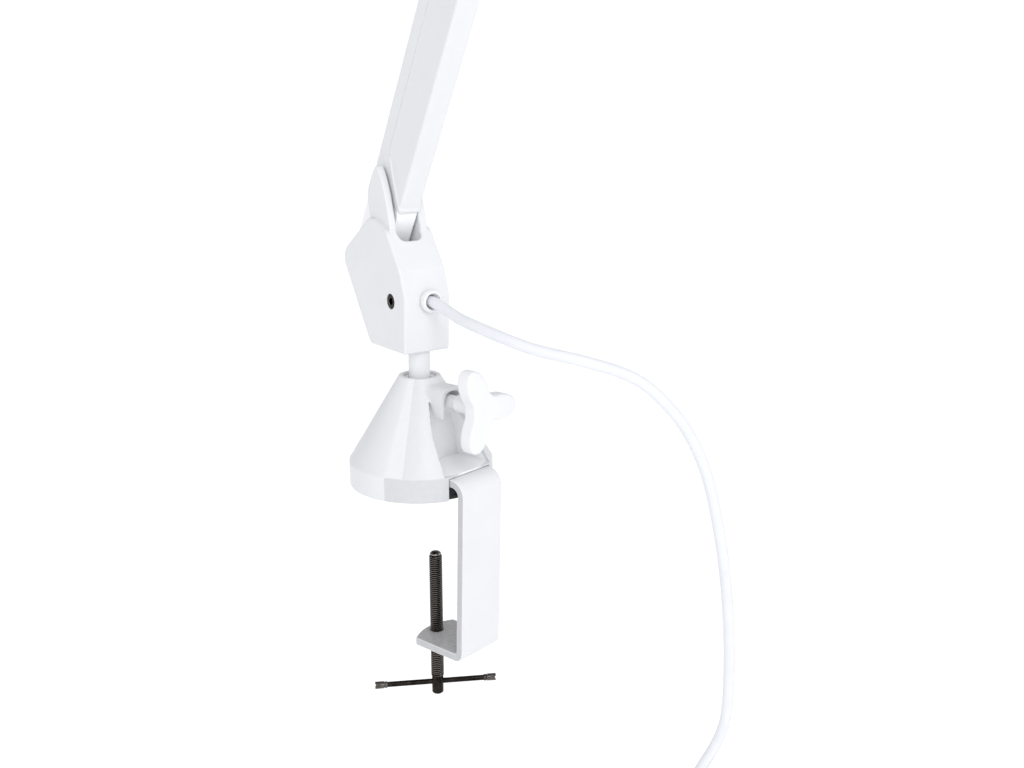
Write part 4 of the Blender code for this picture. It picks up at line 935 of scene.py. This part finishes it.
def sleeve_sd(x, y, z):
    r = np.sqrt(y * y + z * z)
    d = outline_sd(x, r, inset([(HALF - 7.6, -9), (HALF, -9), (HALF, 2.2), (HALF - 6.1, 2.2), (HALF - 6.4, 2.05), (HALF - 7.3, 2.05), (HALF - 7.6, 1.8)], 0.0))
    d = cut(d, slab(x, HALF - 6.2, HALF - 5.7) + 0 * r - np.where(r > 1.95, 0.0, 9.0) * 0 - 0.0 + np.maximum(1.95 - r, 0), 0.05)
    d = both(d, np.where(x > HALF - 3.4, np.abs(y) - 1.5, -9.0), 0.2)
    v = np.maximum((np.abs(z) - (x - (HALF - 1.7)) * 0.75) * 0.8, HALF - 1.7 - x)
    d = cut(d, v, 0.12)
    return cut(d, np.maximum(r - 1.7, x - (HALF - 3.5)), 0.08)


H = 0.16
for _nm, _mt in (("bar_end_b", BAR), ("bar_end_a", BAR @ Matrix.Rotation(math.pi, 4, "Z"))):
    place(_nm.replace("bar_end", "bar_tip"), skin(_nm + "_tip", sleeve_sd, steps(HALF - 8, HALF + 0.4, H), steps(-2.6, 2.6, H), steps(-2.6, 2.6, H), _mt, keep=0.6), NICKEL_BRIGHT, _nm)


# ---------------------------------------------------------------- locking knob
KN = Matrix.Translation((0, 0, KNOB_Z))
LOBES = [rad(a) for a in (-5.0, 117.0, 249.0)]


def lobe_r(a):
    d = min(abs((a - l + math.pi) % (2 * math.pi) - math.pi) for l in LOBES)
    return 9.6 + 16.6 * (0.5 + 0.5 * math.cos(math.pi * min(d / rad(60), 1.0))) ** 1.55


KNOB_RIM = [(lobe_r(2 * math.pi * i / 150) * math.cos(2 * math.pi * i / 150), lobe_r(2 * math.pi * i / 150) * math.sin(2 * math.pi * i / 150)) for i in range(150)]


def knob_sd(x, y, z):
    r = np.sqrt(y * y + z * z)
    d = both(outline_sd(y, z, KNOB_RIM), slab(x, 43.6, 53.0), 1.9)
    # a shallow dish in the middle of the outer face
    d = cut(d, np.sqrt((x - 53.0 - 40.0) ** 2 + r * r) - 40.7, 0.8)
    hub = both(r - 5.2, np.maximum(31.2 - x, x - 47.0), 0.45)
    d = join(d, hub, 1.6)
    return cut(d, np.maximum(r - 4.15, slab(x, 28, 33.4)), 0.25)


H = 0.5
place("wing_knob_grip", skin("wing_knob_grip", knob_sd, steps(30.4, 54, H), steps(-27.5, 27.5, H), steps(-27.5, 27.5, H), KN, keep=0.5), PLASTIC, "wing_knob")
place("knob_stud", thread("knob_stud", 4.0, 1.25, 12.4, 33.0, KN, axis="X", ends=(0.6, 0.3)), PLASTIC, "knob_screw")


# ---------------------------------------------------------------- knuckle
KN_HALF_T, COVER_T, SLOT_HALF = 15.15, 2.5, 7.7
INNER = KN_HALF_T - COVER_T - 0.15
BOLT_X, BOLT_Z = -5.6, 109.8
KNUCKLE = rounded([(-63.9, 131.4, 9.0), (-27.0, 157.0, 10.0), (-8.4, 149.1, 5.0), (5.2, 128.8, 22.0), (10.7, 112.9, 12.0), (9.2, 80.8, 1.2), (-31.5, 80.8, 7.0)], 10)
EAR = [(-30.0, 148.0), (-31.8, 156.5), (-33.2, 161.5), (-34.3, 167.2), (-33.2, 172.5), (-29.2, 179.0), (-25.0, 184.4),
       (-22.6, 186.0), (-19.6, 183.0), (-16.5, 177.5), (-13.6, 170.5), (-11.4, 163.0), (-9.6, 156.0), (-7.6, 148.0)]


def round_off(pts, times=2):
    """Corner cutting for a soft outline."""
    for _ in range(times):
        out = []
        for i, p in enumerate(pts):
            q = pts[(i + 1) % len(pts)]
            out += [(0.8 * p[0] + 0.2 * q[0], 0.8 * p[1] + 0.2 * q[1]), (0.2 * p[0] + 0.8 * q[0], 0.2 * p[1] + 0.8 * q[1])]
        pts = out
    return pts


EAR = round_off(EAR, 2)
SLOT_SHAPE = [(PX + 19.8 * math.cos(a), PZ + 19.8 * math.sin(a)) for a in [rad(d) for d in range(-150, -14, 5)]]
SLOT_SHAPE += [(PX + 21.9, PZ + 0.5), (-6.6, 142.6), (1.2, 153.0), (20, 200), (-90, 200), (-95, 110)]


def slot_sd(x, y, z):
    return both(outline_sd(x, z, SLOT_SHAPE), np.abs(y) - SLOT_HALF, 4.6)


def knuckle_sd(x, y, z):
    core = np.maximum(outline_sd(x, z, KNUCKLE) + 0.04, np.abs(y) - INNER)
    ears = both(outline_sd(x, z, EAR), np.abs(y) - INNER, 0.9)
    d = join(core, ears, 1.2)
    d = cut(d, slot_sd(x, y, z), 1.7)
    d = cut(d, tube_sd(x - PX, z - PZ, 4.1), 0.2)
    d = cut(d, np.maximum(tube_sd(x, y, 6.6), slab(z, 70, 100)), 0.3)
    d = cut(d, tube_sd(x - BOLT_X, z - BOLT_Z, 2.7), 0.1)
    d = cut(d, np.maximum(tube_sd(y - GLAND_Y, z - GLAND_Z, 5.2), -1.0 - x), 0.3)
    d = cut(d, np.maximum(tube_sd(x - BOLT_X, z - BOLT_Z, 4.6), y + INNER - 2.0), 0.1)
    return cut(d, np.maximum(tube_sd(x - BOLT_X, z - BOLT_Z, 4.9), INNER - 2.4 - y), 0.1)


def cover_sd(x, y, z):
    """The near cover; the far one is its mirror image."""
    d = both(outline_sd(x, z, KNUCKLE), -KN_HALF_T - y, 1.1)
    d = np.maximum(d, y + INNER - 0.5)
    # the covers' edge rounds into the slot behind the arm
    return cut(d, tube_sd(x - BOLT_X, z - BOLT_Z, 4.5), 0.3)


H = 0.55
place("knuckle_core", skin("knuckle_core", knuckle_sd, steps(-65, 12, H), steps(-13, 13, H), steps(80, 187, H), K, keep=0.5), PAINT, "knuckle_body")
place("cover_near", skin("cover_near", cover_sd, steps(-65, 12, H), steps(-15.9, -11.4, H * 0.7), steps(80, 158, H), K, keep=0.5), PAINT, "knuckle_cover_near")
place("cover_far", skin("cover_far", lambda x, y, z: cover_sd(x, -y, z), steps(-65, 12, H), steps(11.4, 16.0, H * 0.7), steps(80, 158, H), K, keep=0.5), PAINT, "knuckle_cover_far")


def bolt_sd(x, y, z):
    x, z = x - BOLT_X, z - BOLT_Z
    r = np.sqrt(x * x + z * z)
    y0 = -KN_HALF_T + 0.3
    d = both(r - 4.2, np.maximum(y0 - y, y - (y0 + 3.2)), 0.45)
    hexa = np.maximum.reduce([np.abs(x * math.cos(rad(30 + 60 * i)) + z * math.sin(rad(30 + 60 * i))) for i in range(3)]) - 2.1
    d = cut(d, np.maximum(hexa, y - (y0 + 2.2)), 0.15)
    return np.minimum(d, np.maximum(r - 2.5, slab(y, y0 + 3.0, 14.3)))


H = 0.18
place("bolt_socket", skin("bolt_socket", bolt_sd, steps(BOLT_X - 4.7, BOLT_X + 4.7, H), steps(-15.4, 14.8, H, [(-11, 13, 2.0)]), steps(BOLT_Z - 4.7, BOLT_Z + 4.7, H), K, keep=0.5), NICKEL, "knuckle_bolt")


# ---------------------------------------------------------------- arms
HW, HT, SPLIT_U, WALL = 17.65, 6.75, -8.1, 1.3
VI = HT - WALL - 0.25
U1 = HW - WALL - 0.35


def full_section(u, v, r=1.6):
    q = np.stack([np.abs(u) - HW + r + 0 * v, np.abs(v) - HT + r + 0 * u])
    return np.sqrt(np.maximum(q[0], 0) ** 2 + np.maximum(q[1], 0) ** 2) + np.minimum(np.maximum(q[0], q[1]), 0) - r


def end_s(u, lip_from, lip_to):
    t = np.clip((u - (SPLIT_U + 0.25)) / (HW - SPLIT_U - 0.25), 0, 1)
    return lip_from + (lip_to - lip_from) * np.maximum(t, 1e-6) ** 0.8


def cover_arm(s0, s1, lip_from, lip_to):
    def f(u, v, s):
        outer = full_section(u, v)
        d = both(outer, (SPLIT_U + 0.25) - u, 0.3)
        inner = np.maximum(np.maximum(np.abs(v) - HT + WALL, u - HW + WALL), -30)
        d = cut(d, inner, 0.1)
        g = (s - end_s(u, lip_from, lip_to)) * 0.75
        d = both(d, -g, 0.3)
        # rolled lip along the lower end
        lip = both(both(outer - 0.42, np.abs(g - 0.85) - 0.85, 0.4), (SPLIT_U + 2.5) - u, 0.4)
        lip = cut(lip, inner, 0.1)
        d = join(d, lip, 0.35)
        return both(d, s - s1, 0.25)
    return f


def bar_arm(s0, s1, foot, lip_from, lip_to, hollow_from, bore, lead=None):
    def f(u, v, s):
        outer = full_section(u, v)
        front = both(outer, u - SPLIT_U, 0.3)
        core = both(np.abs(v) - VI, np.maximum(u - U1, -HW - u), 0.4)
        d = np.maximum(np.minimum(front, core), s0 - s)
        d = np.minimum(d, both(outline_sd(u, s, foot), np.abs(v) - VI, 0.3))
        shown = both(outline_sd(u, s, foot), np.abs(v) - VI - 1.4, 1.2)
        shown = both(shown, (s - end_s(u, lip_from, lip_to) + 0.4) * 0.75, 0.2)
        d = np.minimum(d, shown)
        d = both(d, s - s1, 0.25)
        d = cut(d, box_sd(u, v, s, (-HW + 1.8, -VI + 1.6, hollow_from), (U1 - 1.6, VI - 1.6, 900)), 0.2)
        d = cut(d, tube_sd(u, s, bore), 0.3)
        if lead:
            d = cut(d, box_sd(u, v, s, *lead), 0.5)
        return d
    return f


def arc_pts(r, a0, a1, n):
    return [(r * math.cos(rad(a0 + (a1 - a0) * i / n)), r * math.sin(rad(a0 + (a1 - a0) * i / n))) for i in range(n + 1)]


FOOT_A = arc_pts(HW, 180, 347, 40) + [(HW - 0.7, 3.0), (HW - 0.7, 40.5), (U1, 42.2), (U1 - 1.0, 70.0), (-HW + 0.05, 70.0)]
LIP_FROM, LIP_TO = 68.5, 43.0
NECK = 40.0
RT = 13.0
FOOT_B = arc_pts(RT, 170, 370, 40) + [(RT, NECK - 10), (HW - 1.8, NECK), (HW - 1.8, NECK + 18), (-HW, NECK + 18), (-HW, NECK), (-RT, NECK - 10)]
H = 0.45
US, VS = steps(-18.6, 18.6, H), steps(-7.6, 7.6, H)
END_A = LOWER_LEN - NECK
END_B = UPPER_LEN - 30.0
place("lower_bar", skin("lower_bar", bar_arm(30.0, END_A, FOOT_A, LIP_FROM, LIP_TO, 24.0, 4.15, ((3.0, -3.4, 7.0), (HW + 4, 3.4, 20.0))), US, VS,
                        steps(-18.6, END_A + 0.6, H, [(74, END_A - 6, 6.0)]), ARM_A, keep=0.6), foot_paint(tuple(ARM_A.translation * MM), tuple(ARM_A.col[2][:3]), 0.0423), "lower_arm_bar")
place("lower_cover", skin("lower_cover", cover_arm(34.0, END_A, LIP_FROM, LIP_TO), US, VS, steps(41.0, END_A + 0.6, H, [(74, END_A - 6, 6.0)]), ARM_A, keep=0.6), PAINT, "lower_arm_cover")
place("upper_bar", skin("upper_bar", bar_arm(NECK + 2, END_B, FOOT_B, NECK + 24, NECK + 3.0, NECK + 4, 4.15), US, VS,
                        steps(-14.0, END_B + 0.6, H, [(NECK + 30, END_B - 6, 6.0)]), ARM_B, keep=0.6), PAINT, "upper_arm_bar")
place("upper_cover", skin("upper_cover", cover_arm(NECK + 2, END_B, NECK + 24, NECK + 3.0), US, VS, steps(NECK + 1, END_B + 0.6, H, [(NECK + 30, END_B - 6, 6.0)]), ARM_B, keep=0.6), PAINT, "upper_arm_cover")


# clevises
def clevis(r, end, slot_from, bore):
    shape = arc_pts(r, -5, 185, 36) + [(-HW, end + 5), (-HW, end), (HW, end), (HW, end + 5)]
    if bore < 4:
        shape = arc_pts(r, -6, 186, 36) + [(-HW, end + 4), (-HW, end), (HW, end), (HW, end + 4)]

    def f(x, y, z):
        d = both(outline_sd(x, z, shape), np.abs(y) - 10.4, 1.1)
        d = cut(d, box_sd(x, y, z, (-60, -7.6, slot_from), (60, 7.6, 60)), 0.8)
        d = np.minimum(d, box_sd(x, y, z, (-15.4, -3.3, end - 16), (14.0, 3.3, end + 2), 0.3))
        d = cut(d, tube_sd(x, z, bore), 0.3)
        return cut(d, box_sd(x, y, z, (-7, -2.2, end - 20), (7, 2.2, end + 12)), 0.4) if bore > 4 else d
    return f


H = 0.5
place("elbow_fork", skin("elbow_fork", clevis(14.5, -NECK + 0.3, -NECK + 0.3 + 8.4, 4.1), steps(-18.6, 18.6, H), steps(-11, 11, H), steps(-57, 15.4, H), ELBOW, keep=0.5), PAINT, "elbow_clevis")
place("head_fork", skin("head_fork", clevis(11.5, -29.7, -29.7 + 7.5, 3.1), steps(-18.6, 18.6, H), steps(-11, 11, H), steps(-47, 12.4, H), HEAD_JOINT, keep=0.5), PAINT, "head_clevis")


def neck_sd(x, y, z):
    shape = arc_pts(10.5, 170, 370, 30) + [(8.0, 20.0), (8.0, 27.0), (-8.0, 27.0), (-8.0, 20.0)]
    d = both(outline_sd(x, z, shape), np.abs(y) - 6.4, 1.0)
    d = cut(d, tube_sd(x, z, 3.15), 0.3)
    d = join(d, both(tube_sd(x, y, 4.0), slab(z, 24, 44), 0.2), 0.6)
    return np.minimum(d, both(tube_sd(x, y, 5.4), slab(z, 39.5, 42.5), 0.2))


place("head_neck_link", skin("head_neck_link", neck_sd, steps(-11.5, 11.5, H), steps(-7, 7, H), steps(-11.5, 45, H), HEAD, keep=0.6), PAINT, "head_neck")

# pivot bolts and caps: turned, crowned heads
_o = 10.4
for _nm, _prof, _mt in (
    ("elbow_bolt", [(0, -_o - 3.0), (3.2, -_o - 3.0), (3.6, -_o - 2.6), (4.2, -_o - 2.6), (4.5, -_o - 2.95), (6.5, -_o - 2.85), (7.4, -_o - 2.1), (7.4, -_o - 0.3), (3.95, -_o - 0.3), (3.95, _o + 0.2), (0, _o + 0.2)], ELBOW),
    ("elbow_cap", [(0, _o + 0.5), (7.4, _o + 0.5), (7.4, _o + 2.1), (6.5, _o + 2.85), (4.5, _o + 2.95), (4.2, _o + 2.6), (3.6, _o + 2.6), (3.2, _o + 3.0), (0, _o + 3.0)], ELBOW),
    ("head_bolt", [(0, -_o - 2.6), (2.4, -_o - 2.6), (2.7, -_o - 2.3), (3.2, -_o - 2.3), (3.5, -_o - 2.55), (4.9, -_o - 2.45), (5.7, -_o - 1.8), (5.7, -_o - 0.3), (2.95, -_o - 0.3), (2.95, _o + 0.2), (0, _o + 0.2)], HEAD_JOINT),
    ("head_cap", [(0, _o + 0.5), (5.7, _o + 0.5), (5.7, _o + 1.8), (4.9, _o + 2.45), (3.5, _o + 2.55), (3.2, _o + 2.3), (2.7, _o + 2.3), (2.4, _o + 2.6), (0, _o + 2.6)], HEAD_JOINT),
):
    place(_nm + "_turned", turned(_nm + "_turned", soft_profile(_prof, 0.22), _mt, 64, "Y", sharp=60), PAINT, _nm)


# ---------------------------------------------------------------- head
S0, S1, D, W = 30.0, 30.0 + HEAD_LEN, 6.5, 31.0
HEAD_SEC = rounded([(-D, -W, 2.0), (D, -W * 0.92, 5.0), (D, W * 0.92, 5.0), (-D, W, 2.0)], 8)
CAV = [(-D - 1, -W + 3.4), (-D + 2.6, -W + 3.4), (-D + 2.6, -W + 5.4), (D - 2.4, -W + 6.4), (D - 2.4, W - 6.4), (-D + 2.6, W - 5.4), (-D + 2.6, W - 3.4), (-D - 1, W - 3.4)]


def head_sd(x, y, z):
    d = both(outline_sd(x, y, HEAD_SEC), slab(z, S0 + 4.3, S1 - 4.3), 0.25)
    # cooling grooves along the back
    for k in range(-3, 4):
        g = np.maximum(tube_sd(x - D - 0.5, y - 5.5 * k, 1.15), slab(z, S0 + 60, S1 - 18))
        d = cut(d, g, 0.35)
    d = cut(d, np.maximum(outline_sd(x, y, CAV), slab(z, S0 + 54.0, S1 - 12.0)), 0.3)
    d = cut(d, np.maximum(tube_sd(x, y, 4.3), slab(z, 20, 60)), 0.2)
    d = cut(d, box_sd(x, y, z, (-6.2, -6.2, 39.0), (6.2, 6.2, 43.0)) if False else np.maximum(tube_sd(x, y, 5.7), slab(z, 39.0, 43.0)), 0.1)
    return cut(d, np.maximum(tube_sd(y, z - S0 - 40, 7.3), x + D - 4.4), 0.4)


H = 0.6
place("head_shell", skin("head_shell", head_sd, steps(-7.2, 7.4, H), steps(-31.8, 31.8, H), steps(S0 + 3.4, S1 - 3.4, H, [(S0 + 92, S1 - 22, 6.0)]), HEAD, keep=0.5), PAINT, "head_housing")


def cap_sd(lo, hi, out):
    def f(x, y, z):
        face = slab(z, lo, hi)
        d = both(outline_sd(x, y, HEAD_SEC), face, 0.9)
        return cut(d, np.maximum(tube_sd(x, y, 4.3), slab(z, 20, 60)), 0.3) if out < 0 else d
    return f


for _nm, _lo, _hi, _out in (("head_end_cap_inner", S0, S0 + 4.0, -1), ("head_end_cap_outer", S1 - 4.0, S1, 1)):
    place(_nm + "_moulded", skin(_nm + "_moulded", cap_sd(_lo, _hi, _out), steps(-7.2, 7.2, H), steps(-31.8, 31.8, H), steps(_lo - 0.8, _hi + 0.8, H * 0.7), HEAD, keep=0.5), PLASTIC, _nm)
BTN = HEAD @ Matrix.Translation((0, 0, S0 + 40))
place("button_cap", turned("button_cap", soft_profile([(0, -D - 1.0), (3.0, -D - 1.1), (5.6, -D - 1.4), (6.3, -D - 1.35), (7.0, -D - 0.8), (7.0, -D + 2.4), (0, -D + 2.4)], 0.3), BTN, 64, "X", sharp=60), PLASTIC, "power_button")


# ---------------------------------------------------------------- floor and light
FLOOR_Z = CAD_BOX[0][2] - 0.002
bm = bmesh.new()
bmesh.ops.create_grid(bm, x_segments=1, y_segments=1, size=14.0)
me = bpy.data.meshes.new("studio_floor")
bm.to_mesh(me)
bm.free()
floor = bpy.data.objects.new("studio_floor", me)
floor.location = (0, 0, FLOOR_Z)
bpy.context.scene.collection.objects.link(floor)
fm, ft, fp, fc = nodes_of("studio_floor")
ft.links.new(ramp(ft, noise(ft, fc, 2.0), (0.955, 0.957, 0.96), (0.965, 0.966, 0.968)), fp.inputs["Base Color"])
fp.inputs["Roughness"].default_value = 0.9
fp.inputs["Specular IOR Level"].default_value = 0.0
fp.inputs["Emission Color"].default_value = (1, 1, 1, 1)
fp.inputs["Emission Strength"].default_value = 0.3
me.materials.append(fm)
floor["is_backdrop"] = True

world = bpy.data.worlds.new("studio")
bpy.context.scene.world = world
world.use_nodes = True
wt = world.node_tree
wt.nodes.clear()
wo, wb = wt.nodes.new("ShaderNodeOutputWorld"), wt.nodes.new("ShaderNodeBackground")
wb.inputs["Color"].default_value = (1.0, 1.0, 1.0, 1)
wb.inputs["Strength"].default_value = 1.05
# the studio seen directly is plain white; the light that it sheds is softer from the left and from overhead
sky = wt.nodes.new("ShaderNodeBackground")
sky.inputs["Color"].default_value = (0.985, 0.99, 1.02, 1)
wc = wt.nodes.new("ShaderNodeTexCoord")
dot = wt.nodes.new("ShaderNodeVectorMath")
dot.operation = "DOT_PRODUCT"
dot.inputs[1].default_value = (0.80, -0.42, -0.42)
wt.links.new(wc.outputs["Generated"], dot.inputs[0])
mr = wt.nodes.new("ShaderNodeMapRange")
mr.inputs["From Min"].default_value, mr.inputs["From Max"].default_value = -1.0, 1.0
mr.inputs["To Min"].default_value, mr.inputs["To Max"].default_value = 0.52, 1.34
wt.links.new(dot.outputs["Value"], mr.inputs[0])
wt.links.new(mr.outputs[0], sky.inputs["Strength"])
lp = wt.nodes.new("ShaderNodeLightPath")
ws = wt.nodes.new("ShaderNodeMixShader")
wt.links.new(lp.outputs["Is Camera Ray"], ws.inputs[0])
wt.links.new(sky.outputs[0], ws.inputs[1])
wt.links.new(wb.outputs[0], ws.inputs[2])
wt.links.new(ws.outputs[0], wo.inputs[0])


def area(name, at, to, size, power, colour=(1, 1, 1)):
    l = bpy.data.lights.new(name, "AREA")
    l.shape, l.size, l.energy, l.color = "DISK", size, power, colour
    o = bpy.data.objects.new(name, l)
    bpy.context.scene.collection.objects.link(o)
    o.location = at
    o.rotation_mode = "QUATERNION"
    o.rotation_quaternion = (Vector(to) - Vector(at)).to_track_quat("-Z", "Y")
    return o


area("key_right", (0.75, -0.42, 0.72), (0.02, 0.0, 0.1), 0.5, 2.4, (1.0, 0.995, 0.985))

_lo, _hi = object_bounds()
